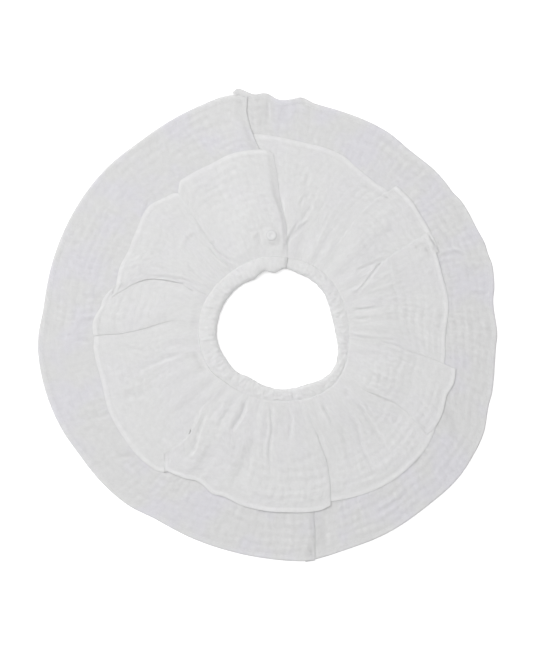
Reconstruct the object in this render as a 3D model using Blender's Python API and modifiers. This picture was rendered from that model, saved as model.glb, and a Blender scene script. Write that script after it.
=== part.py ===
"""A two-tier gathered bib collar in white double gauze, laid flat with its back snap fastened.

Lengths are in millimetres and angles in degrees until a point is made, which puts it in metres.
An angle runs counter-clockwise about the neck centre from +X, so that 90 is the back opening. A
strip starts at its left end, which lies on top at the back, and runs once round the neck to its
right end, under the left one, so its running angle goes from about 90 to about 460.
"""

import math

import bmesh
import bpy

METRE = 0.001

# Cloth, and the clearance between pieces
WALL = 1.1
SEAM_GAP = 0.35

# Where the neck centre lies from the middle of the whole outline
NECK_X = 10.12
NECK_Y = -3.67

# Neck casing: its ends, the room for the strips' waves in it, its crown, its ruching, the share of
# that on the flat left end, and how far the strips go into it
BAND_ENDS = (82.5, 459.8)
BAND_WAVE = 0.7
BAND_CROWN = 0.9
PUCKERS = 84
PUCKER_RISE = 0.8
END_PUCKERS = 0.35
BAND_GRIP = 0.62

# Its section, from the lower leg at the seam round the neck edge to the upper leg. Shares across
# from hole to seam and up from floor to top of the outer point, its share of the pucker inwards and
# upwards and of the crown, then the inner point's shares across and up inside the wall
BAND_SECTION = (
    (1.0, 0.0, 0.0, 0.0, 0.0, 1.0, 0.0),
    (0.17, 0.0, 0.0, 0.0, 0.0, 0.24, 0.0),
    (0.0, 0.3, 0.0, 0.0, 0.0, 0.14, 0.39),
    (0.0, 0.65, 0.5, 0.0, 0.0, 0.14, 0.61),
    (0.15, 1.0, 0.0, 0.5, 0.0, 0.25, 1.0),
    (0.58, 1.0, 0.0, 1.0, 1.0, 0.58, 1.0),
    (1.0, 1.0, 0.0, 0.0, 0.0, 1.0, 1.0),
)

# Back overlap: the left end lies on the right one up to this angle, then comes down to the table
OVERLAP_END = 102.0
NECK_RAMP = 26.0
CLOTH_RAMP = 34.0
SEAM_RUN = 16.0

# Gathers of each tier: waves round the neck, and stations along each wave
LOWER_WAVES = 36
UPPER_WAVES = 40
LOWER_STATIONS = 4
UPPER_STATIONS = 5

# Where the gathers start and end round the neck: angle and run
GATHERS_FROM = (100.0, 14.0)
GATHERS_TO = (424.0, 12.0)

# Their rise outside the seam, the run that it takes, and where and over what run they die away
LOWER_RISE, LOWER_RISE_RUN = 1.1, 10.0
LOWER_FADE_FROM, LOWER_FADE_RUN = 14.0, 52.0
UPPER_RISE, UPPER_RISE_RUN = 1.9, 12.0
UPPER_FADE_FROM, UPPER_FADE_RUN = 12.0, 34.0
UPPER_LEAST = 0.5

# Unevenness of the gathers: cycles round the neck, size and start of each drift
SPACING_DRIFT = ((3.0, 1.1, 0.0), (7.0, 0.7, 1.0))
HEIGHT_DRIFT = ((5.3, 0.6), (11.7, 0.0))
HEIGHT_MIDDLE, HEIGHT_SPREAD = 0.72, 0.28
REACH_DRIFT = ((9.0, 16.0, 0.0), (57.0, 9.0, 0.0))

# Rings of a strip, as shares of its width from inside the casing to the hem
LOWER_FRACTIONS = (0.0, 0.075, 0.17, 0.32, 0.52, 0.74, 1.0)
UPPER_FRACTIONS = (0.0, 0.11, 0.25, 0.42, 0.60, 0.80, 1.0)

# Laid folds: bend radius, steps round a bend and along the hidden layer, flat lead on each side,
# radii of the middle and inner columns below, share of a fold's length over which it closes, where
# its hidden layer starts to widen, and the least width of that
FOLD_BEND = 0.8
ARC_STEPS = 4
MIDDLE_STEPS = 2
FOLD_LEAD = 6.0
FOLD_MIDDLE = 126.0
FOLD_INNER = 95.0
FOLD_CLOSED = 0.66
HIDDEN_FROM = 0.4
HIDDEN_LEAST = 0.6

# Gathers give way to a laid fold over this run beside it, from this radius on and over this run
FREE_RUN = 12.0
FREE_FROM, FREE_FADE = 80.0, 25.0

# Snap
SNAP_ANGLE = 94.0
SNAP_RADIUS = 85.0
SNAP_DIAMETER = 10.0
STUD_FLANGE = 0.9
SOCKET_HEIGHT = 1.7
BORE_DEPTH = 0.72
POST_DIAMETER = 4.4
TURN_STEPS = 24

# Snap cap's profile: share of the rim's radius, height
CAP_PROFILE = (
    (0.0, 1.35), (0.26, 1.4), (0.4, 1.75), (0.62, 1.8), (0.86, 1.4), (1.0, 0.7), (1.0, 0.0), (0.0, 0.0),
)

# Neck casing: angle, radius of the neck hole, radius of the seam with the ruffles
NECK = (
    (0, 52.2, 64.4), (20, 50.4, 64.0), (40, 53.5, 65.0), (60, 55.0, 65.3), (78, 55.2, 65.0),
    (92, 52.4, 65.0), (103, 53.4, 65.7), (115, 50.8, 65.7), (130, 52.6, 66.2), (150, 54.0, 68.4),
    (170, 55.0, 70.2), (190, 55.8, 70.6), (210, 54.0, 70.0), (225, 53.5, 66.2), (238, 50.4, 65.0),
    (255, 51.8, 64.0), (275, 54.0, 64.6), (295, 56.2, 67.5), (315, 60.6, 70.2), (330, 60.4, 69.0),
    (345, 56.3, 66.0),
)

# Lower hem: running angle, radius
LOWER_HEM = (
    (97.3, 211.5), (102, 215.0), (109, 213.7), (120, 211.0), (127, 209.7), (137, 212.0),
    (150, 212.4), (165, 211.5), (175, 212.0), (181, 215.5), (186, 217.0), (196, 215.5),
    (205, 213.0), (212, 210.2), (222, 209.0), (230, 206.0), (237, 201.6), (247, 201.9),
    (257, 203.0), (266, 205.0), (274, 208.0), (279, 209.3), (284, 206.6), (290, 205.2),
    (300, 207.0), (312, 208.0), (322, 209.3), (330, 207.9), (337, 203.5), (345, 199.8),
    (353, 196.4), (360, 196.0), (367, 193.8), (372, 198.0), (379, 200.8), (381.5, 199.0),
    (385, 201.2), (394, 201.6), (401, 198.9), (406, 200.7), (415, 200.3), (422, 203.4),
    (435, 204.8), (441, 206.5), (444.5, 210.4), (447, 207.6), (450, 207.5), (453, 212.6),
    (456, 213.4), (459.5, 219.4), (460.8, 217.0),
)

# Upper hem: running angle, radius. Each panel lies between two laid folds
UPPER_HEM = (
    ((91.6, 159.4), (94.5, 162.4), (98, 164.7), (105, 163.8), (112, 161.8), (125.8, 160.4)),
    ((126.2, 157.0), (134, 158.8), (140, 161.0), (146, 157.0), (156, 153.6), (165, 151.2),
     (168.7, 152.6)),
    ((169.2, 159.3), (175, 160.2), (181.6, 161.0)),
    ((182, 167.4), (196, 166.0), (206, 169.2), (219, 171.0), (225, 170.0), (227.3, 166.4)),
    ((227.8, 165.6), (233, 163.8), (238, 160.0), (241.5, 154.8), (244.5, 156.0), (248, 158.6),
     (252, 157.5), (258, 160.2), (267, 162.6), (276, 166.0), (283, 166.5), (286.4, 163.8)),
    ((286.8, 160.2), (295, 164.7), (303, 168.3), (310, 170.8), (318, 169.7), (324.8, 166.4)),
    ((325.2, 162.6), (328.5, 165.2), (334, 164.7), (338.5, 162.2), (343, 163.8), (347.3, 161.8)),
    ((347.7, 154.8), (353, 152.2), (360, 151.2), (370, 153.9), (380, 156.2), (388, 159.3),
     (392.8, 160.2)),
    ((393.2, 163.4), (400, 165.6), (405.5, 168.3), (410.3, 168.3)),
    ((410.7, 160.2), (416, 161.0), (425, 164.7), (430.5, 168.3), (437, 170.8), (445, 171.6),
     (451, 174.0), (457, 179.0), (461, 179.4)),
)

# Laid folds: angle of the visible edge at the hem, at FOLD_MIDDLE and at FOLD_INNER, whether the
# panel before or after it lies on top, the overlap at the hem, and the radius where it begins
UPPER_FOLDS = (
    (126.0, 126.8, 127.5, "before", 10.0, 84.0),
    (169.0, 159.0, 154.2, "before", 10.0, 84.0),
    (181.8, 180.2, 174.5, "before", 16.0, 90.0),
    (227.5, 229.6, 225.6, "after", 12.0, 86.0),
    (286.6, 290.2, 290.0, "before", 9.0, 88.0),
    (325.0, 328.0, 325.6, "after", 13.0, 82.0),
    (347.5, 350.2, 351.8, "before", 13.0, 82.0),
    (393.0, 393.2, 392.4, "before", 20.0, 82.0),
    (410.5, 414.6, 415.4, "before", 9.0, 88.0),
)
LOWER_FOLDS = ((279.0, 283.0, 283.0, "before", 8.0, 96.0),)

LOWER_FOLD_HEM = 207.0

# Longest slope up to a fold's top panel, for the upper and the lower tier
UPPER_SLOPE = 70.0
LOWER_SLOPE = 24.0

# End edges: radius, upper left, lower left, upper right, lower right
END_EDGES = (
    (55, 83.0, 84.0, 459.6, 459.6), (76, 83.8, 85.2, 459.6, 459.8), (94, 85.6, 87.6, 459.6, 460.0),
    (117, 89.0, 91.2, 459.6, 460.2), (141, 90.5, 93.8, 459.7, 460.4), (160, 91.6, 95.4, 459.8, 460.6),
    (172, 91.6, 96.8, 459.9, 460.7), (185, 91.6, 97.7, 460.0, 460.8), (198, 91.6, 98.0, 460.0, 460.8),
    (212, 91.6, 97.3, 460.0, 460.8), (224, 91.6, 97.3, 460.0, 460.8),
)

# Height of what the left end lies on, across the overlap: radius, height
OVERLAP_STACK = (
    (60, 6.5), (76, 6.4), (92, 6.4), (106, 6.3), (124, 4.4), (140, 3.3), (181, 3.2), (192, 1.5),
    (225, 1.5),
)


def smooth(value):
    """0 below 0, 1 above 1, and an even S between."""
    value = min(1.0, max(0.0, value))
    return value * value * (3.0 - 2.0 * value)


def read_row(table, at, column):
    """A column of a table at a place between its rows, on a curve through them."""
    last = len(table) - 1
    row = 0
    while row < last - 1 and at > table[row + 1][0]:
        row += 1
    low, high = table[row], table[row + 1]
    before, after = table[max(row - 1, 0)], table[min(row + 2, last)]
    span = high[0] - low[0]
    share = min(1.0, max(0.0, (at - low[0]) / span))
    slope_low = span * (high[column] - before[column]) / (high[0] - before[0])
    slope_high = span * (after[column] - low[column]) / (after[0] - low[0])
    square, cube = share * share, share ** 3
    return (
        low[column] * (2 * cube - 3 * square + 1)
        + slope_low * (cube - 2 * square + share)
        + high[column] * (3 * square - 2 * cube)
        + slope_high * (cube - square)
    )


NECK_ROUND = (
    tuple((row[0] - 360,) + row[1:] for row in NECK[-2:])
    + NECK
    + tuple((row[0] + 360,) + row[1:] for row in NECK[:3])
)


def hole_radius(angle):
    return read_row(NECK_ROUND, angle % 360, 1)


def seam_radius(angle):
    return read_row(NECK_ROUND, angle % 360, 2)


def fullness(angle):
    """How much the gathers stand up: pressed flat at the right end and near the snap."""
    begun = smooth((angle - GATHERS_FROM[0]) / GATHERS_FROM[1])
    return begun * (1.0 - smooth((angle - GATHERS_TO[0]) / GATHERS_TO[1]))


def neck_lift(angle):
    """How far the casing's left end is raised by the right end under it."""
    flat_band = 4 * (WALL + SEAM_GAP)
    return flat_band * (1.0 - smooth((angle - OVERLAP_END) / NECK_RAMP))


def cloth_lift(angle, radius):
    """How far the left part of the lower tier is raised by the layers under it."""
    along = math.radians(angle - OVERLAP_END) * radius
    return read_row(OVERLAP_STACK, radius, 1) * (1.0 - smooth(along / CLOTH_RAMP))


def drift(table, turn):
    """Sum of a table's drifts at a turn in radians."""
    return sum(size * math.sin(cycles * turn + start) for cycles, size, start in table)


def uneven_wave(angle, waves):
    """A wave between 0 and 1 whose spacing, height and width vary round the neck."""
    turn = math.radians(angle)
    phase = waves * turn + drift(SPACING_DRIFT, turn)
    swing = math.prod(math.sin(cycles * turn + start) for cycles, start in HEIGHT_DRIFT)
    return (HEIGHT_MIDDLE + HEIGHT_SPREAD * swing) * (0.5 + 0.5 * math.cos(phase))


def lower_room(angle, radius):
    """Height that the lower tier's gathers take at this place."""
    out = radius - seam_radius(angle)
    rise = BAND_WAVE + LOWER_RISE * smooth(out / LOWER_RISE_RUN)
    return fullness(angle) * rise * (1.0 - smooth((out - LOWER_FADE_FROM) / LOWER_FADE_RUN))


def lower_base(angle, radius):
    """Height of the lower tier's underside between its gathers."""
    held = 1.0 - smooth((radius - seam_radius(angle)) / SEAM_RUN)
    at_neck = neck_lift(angle) + WALL + SEAM_GAP
    return held * at_neck + (1.0 - held) * cloth_lift(angle, radius)


def upper_room(angle, radius):
    """Height of the upper tier's gathers, long and short ones in turn."""
    out = radius - seam_radius(angle)
    run = UPPER_FADE_RUN + drift(REACH_DRIFT, math.radians(angle))
    rise = BAND_WAVE + UPPER_RISE * smooth(out / UPPER_RISE_RUN)
    fading = 1.0 - smooth((out - UPPER_FADE_FROM) / run)
    return fullness(angle) * (UPPER_LEAST + (rise - UPPER_LEAST) * fading)


def lower_fold_room(angle, radius):
    """Height of the lower tier's laid fold, and of the slope up to it."""
    fold = LOWER_FOLDS[0]
    turn, hidden = fold_state(fold, radius, LOWER_FOLD_HEM)
    before = math.radians(fold[0] - angle) * radius - LOWER_SLOPE - 2 * FOLD_LEAD
    after = math.radians(angle - fold[1]) * radius - FOLD_LEAD
    window = (1.0 - smooth(before / LOWER_SLOPE)) * (1.0 - smooth(after / LOWER_SLOPE))
    return fold_height(turn, hidden) * window


def upper_base(angle, radius):
    stack = lower_base(angle, radius) + WALL + lower_room(angle, radius) + SEAM_GAP
    return stack + lower_fold_room(angle, radius)


def fold_angle(fold, radius, hem):
    """Angle of a fold's visible edge at a radius."""
    path = ((FOLD_INNER, fold[2]), (FOLD_MIDDLE, fold[1]), (hem, fold[0]))
    return read_row(path, max(radius, FOLD_INNER), 1)


def fold_state(fold, radius, hem):
    """Turn of the cloth in radians, and length of the hidden layer, at a radius."""
    share = (radius - fold[5]) / (hem - fold[5])
    turn = math.pi * max(0.02, smooth(share / FOLD_CLOSED))
    widening = min(1.0, max(0.0, (share - HIDDEN_FROM) / (1.0 - HIDDEN_FROM)))
    return turn, HIDDEN_LEAST + (fold[4] - HIDDEN_LEAST) * widening


def fold_height(turn, hidden):
    bend = math.pi * FOLD_BEND / turn
    return 2 * bend * (1 - math.cos(turn)) + hidden * math.sin(turn)


def fold_path(turn, hidden):
    """Points (along, height, share of the way) from the top panel, over the edge, back under it
    and out again. The way is counted between the two bends once the fold is closed."""
    arc = math.pi * FOLD_BEND
    bend = arc / turn
    inset = arc * turn / math.pi
    span = 2 * arc + hidden - 2 * inset
    start = -bend * math.sin(min(turn, math.pi / 2))
    top = fold_height(turn, hidden)
    points = []
    for step in range(ARC_STEPS + 1):
        part = turn * step / ARC_STEPS
        way = smooth((arc * step / ARC_STEPS - inset) / span)
        points.append((start + bend * math.sin(part), top - bend * (1 - math.cos(part)), way))
    along, height, _ = points[-1]
    for step in range(1, MIDDLE_STEPS + 1):
        length = hidden * step / MIDDLE_STEPS
        way = smooth((arc + length - inset) / span)
        points.append((along + length * math.cos(turn), height - length * math.sin(turn), way))
    along, height, _ = points[-1]
    for step in range(1, ARC_STEPS + 1):
        part = turn - turn * step / ARC_STEPS
        way = smooth((arc + hidden + arc * step / ARC_STEPS - inset) / span)
        points.append(
            (
                along + bend * (math.sin(turn) - math.sin(part)),
                height - bend * (math.cos(part) - math.cos(turn)),
                way,
            )
        )
    return points


class Tier:
    """One gathered strip: its hem, folds, end edges and heights."""

    def __init__(self, hem, folds, end_columns, fractions, waves, stations, slope, base, room):
        self.hem = hem
        self.stations = stations
        self.slope = slope
        self.folds = folds
        self.end_columns = end_columns
        self.fractions = fractions
        self.waves = waves
        self.base = base
        self.room = room

    def ring_radius(self, fraction, angle, hem_radius):
        """The first ring is inside the casing, the next ones go from its seam to the hem."""
        seam = seam_radius(angle)
        if fraction == 0.0:
            return seam - BAND_GRIP * (seam - hole_radius(angle))
        return seam + (fraction - self.fractions[1]) / (1 - self.fractions[1]) * (hem_radius - seam)

    def end_angle(self, side, radius):
        return read_row(END_EDGES, radius, self.end_columns[side])

    def fold_line(self, index, fraction):
        """Points (angle, radius, height) across one fold on one ring, with the length of its
        hidden layer. The first and last points are also the ends of the panels beside it."""
        fold = self.folds[index]
        radius_before = self.ring_radius(fraction, fold[0], self.hem[index][-1][1])
        radius_after = self.ring_radius(fraction, fold[0], self.hem[index + 1][0][1])
        middle = (radius_before + radius_after) / 2
        hem = (self.hem[index][-1][1] + self.hem[index + 1][0][1]) / 2
        turn, hidden = fold_state(fold, middle, hem)
        path = fold_path(turn, hidden)
        if fold[3] == "after":
            path = [(-along, height, 1.0 - way) for along, height, way in reversed(path)]
        points = []
        for along, height, way in path:
            radius = radius_before + (radius_after - radius_before) * way
            angle = fold_angle(fold, middle, hem) + math.degrees(along / radius)
            points.append((angle, radius, height))
        return points, hidden

    def panel_edge(self, panel, side, fraction):
        """Where a panel starts (side 0) or ends (side 1) on a ring: its angle, its height there,
        and the length of the hidden layer beside it."""
        index = panel - 1 + side
        if 0 <= index < len(self.folds):
            points, hidden = self.fold_line(index, fraction)
            angle, _, height = points[0] if side else points[-1]
            return angle, height, hidden
        at, hem_radius = self.hem[panel][-1 if side else 0]
        return self.end_angle(side, self.ring_radius(fraction, at, hem_radius)), 0.0, 0.0

    def panel_points(self, panel, fraction):
        """Points (angle, radius, height) of one panel on one ring, without its fold points."""
        first, low, low_cover = self.panel_edge(panel, 0, fraction)
        last, high, high_cover = self.panel_edge(panel, 1, fraction)
        rows = self.hem[panel]
        hem_first, hem_last = rows[0][0], rows[-1][0]
        count = max(3, round((hem_last - hem_first) / 360 * self.waves * self.stations))
        points = []
        for step in range(count + 1):
            share = step / count
            hem_angle = hem_first + share * (hem_last - hem_first)
            angle = first + share * (last - first)
            radius = self.ring_radius(fraction, angle, read_row(rows, hem_angle, 1))
            arc = math.radians(last - first) * radius
            from_first = share * arc - low_cover - FOLD_LEAD
            to_last = (1 - share) * arc - high_cover - FOLD_LEAD
            run = max(1.0, min(self.slope, from_first + to_last))
            share_up = 1.0 - to_last / run if high > low else from_first / run
            height = low + (high - low) * smooth(share_up)
            free = smooth(from_first / FREE_RUN + 0.5) if panel > 0 else 1.0
            free *= smooth(to_last / FREE_RUN + 0.5) if panel < len(self.folds) else 1.0
            wave = uneven_wave(hem_angle, self.waves) * self.room(angle, radius)
            near_fold = 1.0 - smooth((radius - FREE_FROM) / FREE_FADE) * (1.0 - free)
            points.append((angle, radius, height + wave * near_fold + self.base(angle, radius)))
        return points

    def fold_points(self, index, fraction):
        """Points of one fold on one ring, between the panels on its two sides."""
        points, _ = self.fold_line(index, fraction)
        return [
            (angle, radius, height + self.base(angle, radius))
            for angle, radius, height in points[1:-1]
        ]

    def ring(self, fraction):
        points = []
        for panel in range(len(self.hem)):
            points += self.panel_points(panel, fraction)
            if panel < len(self.folds):
                points += self.fold_points(panel, fraction)
        return points


def world(angle, radius, height):
    turn = math.radians(angle)
    return (
        (NECK_X + radius * math.cos(turn)) * METRE,
        (NECK_Y + radius * math.sin(turn)) * METRE,
        height * METRE,
    )


def walled(points):
    """A strip line (angle, radius, height of its underside) as pairs of outer and inner points,
    WALL apart, square to the line as seen along the radius."""
    pairs = []
    last = len(points) - 1
    for index, (angle, radius, height) in enumerate(points):
        before, after = points[max(index - 1, 0)], points[min(index + 1, last)]
        along = math.radians(after[0] - before[0]) * radius
        rise = after[2] - before[2]
        length = math.hypot(along, rise)
        side = math.degrees(-rise / length * WALL / 2 / radius)
        up = along / length * WALL / 2
        middle = height + WALL / 2
        pairs.append((world(angle + side, radius, middle + up),
                      world(angle - side, radius, middle - up)))
    return pairs


def loft_wall(name, lines, material, collection):
    """A closed wall from lines of outer and inner point pairs, all with the same number."""
    shape = bmesh.new()
    outer = [[shape.verts.new(pair[0]) for pair in line] for line in lines]
    inner = [[shape.verts.new(pair[1]) for pair in line] for line in lines]
    rows, columns = len(lines), len(lines[0])
    for row in range(rows - 1):
        for column in range(columns - 1):
            for side in (outer, inner):
                shape.faces.new((side[row][column], side[row][column + 1],
                                 side[row + 1][column + 1], side[row + 1][column]))
    for row in (0, rows - 1):
        for column in range(columns - 1):
            shape.faces.new((outer[row][column], outer[row][column + 1],
                             inner[row][column + 1], inner[row][column]))
    for column in (0, columns - 1):
        for row in range(rows - 1):
            shape.faces.new((outer[row][column], outer[row + 1][column],
                             inner[row + 1][column], inner[row][column]))
    bmesh.ops.recalc_face_normals(shape, faces=shape.faces)
    mesh = bpy.data.meshes.new(name)
    shape.to_mesh(mesh)
    shape.free()
    mesh.shade_smooth()
    mesh.materials.append(material)
    piece = bpy.data.objects.new(name, mesh)
    collection.objects.link(piece)
    return piece


def finish(name, colour, roughness):
    material = bpy.data.materials.new(name)
    material.use_nodes = True
    shader = material.node_tree.nodes["Principled BSDF"]
    shader.inputs["Base Color"].default_value = (*colour, 1.0)
    shader.inputs["Roughness"].default_value = roughness
    shader.inputs["Metallic"].default_value = 0.0
    return material


def make_tier(name, tier, material, collection):
    lines = [walled(tier.ring(fraction)) for fraction in tier.fractions]
    return loft_wall(name, lines, material, collection)


def band_section(angle, pucker):
    """Pairs (radius, height) of the casing's outer and inner wall. Only the outer points take the
    puckers."""
    hole, seam = hole_radius(angle), seam_radius(angle)
    floor = neck_lift(angle)
    full = fullness(angle)
    thick = 4 * WALL + 3 * SEAM_GAP + 2 * BAND_WAVE * full
    puff = PUCKER_RISE * pucker * max(full, END_PUCKERS if angle < OVERLAP_END else 0.0)
    pairs = []
    for across, up, inwards, upwards, crown, inner_across, inner_up in BAND_SECTION:
        outer = (
            hole + across * (seam - hole) - inwards * puff,
            floor + up * thick + upwards * puff + crown * BAND_CROWN * full,
        )
        inner = (
            hole + inner_across * (seam - hole),
            floor + WALL + inner_up * (thick - 2 * WALL),
        )
        pairs.append((outer, inner))
    return pairs


def make_neckband(material, collection):
    first, last = BAND_ENDS
    steps = round((last - first) / 360 * PUCKERS) * 2
    sections = []
    for step in range(steps + 1):
        angle = first + (last - first) * step / steps
        pairs = band_section(angle, step % 2)
        sections.append([tuple(world(angle, *point) for point in pair) for pair in pairs])
    lines = [list(line) for line in zip(*sections)]
    return loft_wall("neckband", lines, material, collection)


def turned(name, profile, base, material, collection):
    """A turned piece on the snap's axis, from its profile (radius, height above base)."""
    shape = bmesh.new()
    points = [shape.verts.new((radius * METRE, 0.0, height * METRE)) for radius, height in profile]
    for upper, lower in zip(points, points[1:]):
        shape.edges.new((upper, lower))
    mesh = bpy.data.meshes.new(name)
    shape.to_mesh(mesh)
    shape.free()
    mesh.materials.append(material)
    piece = bpy.data.objects.new(name, mesh)
    piece.location = world(SNAP_ANGLE, SNAP_RADIUS, base)
    screw = piece.modifiers.new("turn", "SCREW")
    screw.steps = TURN_STEPS
    screw.render_steps = TURN_STEPS
    screw.use_merge_vertices = True
    screw.merge_threshold = 0.00001
    screw.use_smooth_shade = False
    collection.objects.link(piece)
    return piece


def make_snap(material, collection):
    """The stud stands on the right part, the socket is under the left part, the cap on it."""
    rim = SNAP_DIAMETER / 2
    post = POST_DIAMETER / 2
    bore = post + SEAM_GAP
    lower_top = upper_base(SNAP_ANGLE + 360, SNAP_RADIUS) + WALL
    stud_base = lower_top + SEAM_GAP
    socket_base = stud_base + STUD_FLANGE + SEAM_GAP
    bore_top = BORE_DEPTH * SOCKET_HEIGHT
    post_top = STUD_FLANGE + bore_top
    cap_base = upper_base(SNAP_ANGLE, SNAP_RADIUS) + WALL + SEAM_GAP
    turned(
        "snap_stud",
        ((0, post_top), (post, post_top), (post, STUD_FLANGE), (rim, STUD_FLANGE), (rim, 0), (0, 0)),
        stud_base, material, collection,
    )
    turned(
        "snap_socket",
        ((0, SOCKET_HEIGHT), (rim, SOCKET_HEIGHT), (rim, 0), (bore, 0), (bore, bore_top),
         (0, bore_top)),
        socket_base, material, collection,
    )
    turned(
        "snap_cap",
        tuple((share * rim, height) for share, height in CAP_PROFILE),
        cap_base, material, collection,
    )


def main():
    for old in list(bpy.data.objects):
        bpy.data.objects.remove(old, do_unlink=True)
    collection = bpy.data.collections.new("bib_collar")
    bpy.context.scene.collection.children.link(collection)
    gauze = finish("white_double_gauze", (0.72, 0.72, 0.735), 0.95)
    casing = finish("white_gauze_casing", (0.73, 0.73, 0.74), 0.95)
    plastic = finish("white_snap_plastic", (0.78, 0.78, 0.79), 0.35)
    lower = Tier(
        (tuple(row for row in LOWER_HEM if row[0] <= LOWER_FOLDS[0][0]),
         tuple(row for row in LOWER_HEM if row[0] >= LOWER_FOLDS[0][0])),
        LOWER_FOLDS, (2, 4), LOWER_FRACTIONS, LOWER_WAVES, LOWER_STATIONS, LOWER_SLOPE,
        lower_base, lower_room,
    )
    upper = Tier(
        UPPER_HEM, UPPER_FOLDS, (1, 3), UPPER_FRACTIONS, UPPER_WAVES, UPPER_STATIONS, UPPER_SLOPE,
        upper_base, upper_room,
    )
    make_tier("lower_ruffle", lower, gauze, collection)
    make_tier("upper_ruffle", upper, gauze, collection)
    make_neckband(casing, collection)
    make_snap(plastic, collection)


main()
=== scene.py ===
"""Looks of the ruffled bib collar: two gathered tiers of crinkled double gauze, a ruched casing
with its sewing, and the back snap, laid flat under soft light.

Lengths are in millimetres and angles in degrees until a point is made, which puts it in metres.
An angle runs counter-clockwise about the neck centre from +X, so that 90 is the back opening. A
strip starts at its left end, on top at the back, and runs once round to its right end under it.
"""

import math

import bmesh
import bpy
import numpy as np
from mathutils import Matrix, Vector

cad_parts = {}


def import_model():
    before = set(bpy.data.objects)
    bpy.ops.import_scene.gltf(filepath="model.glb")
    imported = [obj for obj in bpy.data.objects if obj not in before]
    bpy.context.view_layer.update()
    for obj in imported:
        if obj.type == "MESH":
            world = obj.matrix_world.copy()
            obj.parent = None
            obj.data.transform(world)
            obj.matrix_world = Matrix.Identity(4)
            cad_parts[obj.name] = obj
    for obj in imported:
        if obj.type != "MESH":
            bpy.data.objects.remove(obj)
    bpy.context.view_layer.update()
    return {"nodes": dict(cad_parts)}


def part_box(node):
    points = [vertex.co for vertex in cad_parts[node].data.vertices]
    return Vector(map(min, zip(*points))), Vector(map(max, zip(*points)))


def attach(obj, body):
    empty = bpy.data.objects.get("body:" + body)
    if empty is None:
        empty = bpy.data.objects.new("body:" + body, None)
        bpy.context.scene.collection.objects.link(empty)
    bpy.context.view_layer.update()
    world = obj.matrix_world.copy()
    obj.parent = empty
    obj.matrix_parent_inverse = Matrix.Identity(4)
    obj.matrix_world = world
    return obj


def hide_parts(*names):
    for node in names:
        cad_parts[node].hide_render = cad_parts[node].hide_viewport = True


METRE = 0.001
TINY = 1e-9

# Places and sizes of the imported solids
WALL = 1.1
SEAM_GAP = 0.35
NECK_X = 10.12
NECK_Y = -3.67
BAND_ENDS = (82.5, 459.8)
BAND_WAVE = 0.7
BAND_GRIP = 0.62
OVERLAP_END = 102.0
NECK_RAMP = 26.0
CLOTH_RAMP = 34.0
SEAM_RUN = 16.0

# Gauze shell thickness, the share of the solids' gathers that it keeps, and the share of their
# height that all of the cloth there is raised by
SHELL = 0.4
GATHER_SHARE = 0.4
GATHER_LIFT = 0.3

# Gathers: waves round the neck, where they start and end, their rise and how they die away
LOWER_WAVES = 36
UPPER_WAVES = 40
GATHERS_FROM = (100.0, 14.0)
GATHERS_TO = (424.0, 12.0)
LOWER_RISE, LOWER_RISE_RUN = 1.1, 10.0
LOWER_FADE_FROM, LOWER_FADE_RUN = 18.0, 50.0
UPPER_RISE, UPPER_RISE_RUN = 1.9, 12.0
UPPER_FADE_FROM, UPPER_FADE_RUN = 16.0, 34.0
UPPER_LEAST = 0.5
HEM_CALM = 0.8

# Rise of the upper tier beside the casing, from inside its lip outwards: two rises with how far
# out each starts to fade and how soon it has, the angle where they are most, and how one-sided
SEAM_LIFTS = ((1.0, 0.0, 9.0), (1.0, 16.0, 50.0))
SEAM_LIFT_INSIDE = 3.0
SEAM_LIFT_ANGLE = 325.0
SEAM_LIFT_SIDED = 0.7
SPACING_DRIFT = ((3.0, 1.1, 0.0), (7.0, 0.7, 1.0))
HEIGHT_DRIFT = ((5.3, 0.6), (11.7, 0.0))
HEIGHT_MIDDLE, HEIGHT_SPREAD = 0.72, 0.28
REACH_DRIFT = ((9.0, 16.0, 0.0), (57.0, 9.0, 0.0))

# Laid folds: radius of the cloth's bend, its steps, the least turn as a share of a closed fold's,
# the flat run beside a fold, the radii of its middle and inner places, the share of the way out
# where it is closed and where its hidden layer starts to widen, that layer's least width, the run
# over which gathers and crinkle die away beside it, the radius from which the gathers do, and the
# noise that its edge wanders by
FOLD_BEND = 0.19
ARC_STEPS = 6
FOLD_LEAST_TURN = 0.02
FOLD_LEAD = 6.0
FOLD_MIDDLE = 126.0
FOLD_INNER = 95.0
FOLD_CLOSED = 0.55
HIDDEN_FROM = 0.4
HIDDEN_LEAST = 0.2
FREE_RUN = 12.0
FREE_FROM, FREE_FADE = 80.0, 25.0
FOLD_WANDER = ((0.7, (15.0, 1.0), 6.6),)

# Crinkle beside a fold: its share on top of one, and the distance over which it fades at the edge
TOP_CALM = 0.55
FOLD_CALM = 2.2

# Hem of the lower tier at its fold, and the run of the slopes up to a fold
LOWER_FOLD_HEM = 207.0
UPPER_SLOPE = 32.0
LOWER_SLOPE = 24.0

# Spacing of the shells' points along the hem and down the strip
HEM_STEP = 1.85
LOWER_ROWS = ((0.0, 0.075, 3), (0.075, 0.58, 14), (0.58, 1.0, 44))
UPPER_ROWS = ((0.0, 0.11, 4), (0.11, 1.0, 60))

# Width of the last row and column at a tier's edges, whose shading turns over into the edge
LOWER_EDGE = 1.3
UPPER_EDGE = 0.2

# Crinkle of double gauze: height, spacing of its bands along the hem and of its cells across them,
# how round they are, and the share of each, above a level that leaves the mean where it was
CRINKLE = 1.1
BAND_SPACING = 7.3
CELL_SPACING = 7.9
PUFF_ROUNDNESS = 0.6
BAND_SHARE, CELL_SHARE = 0.52, 0.48
PUFF_LEVEL = 0.65

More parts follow.
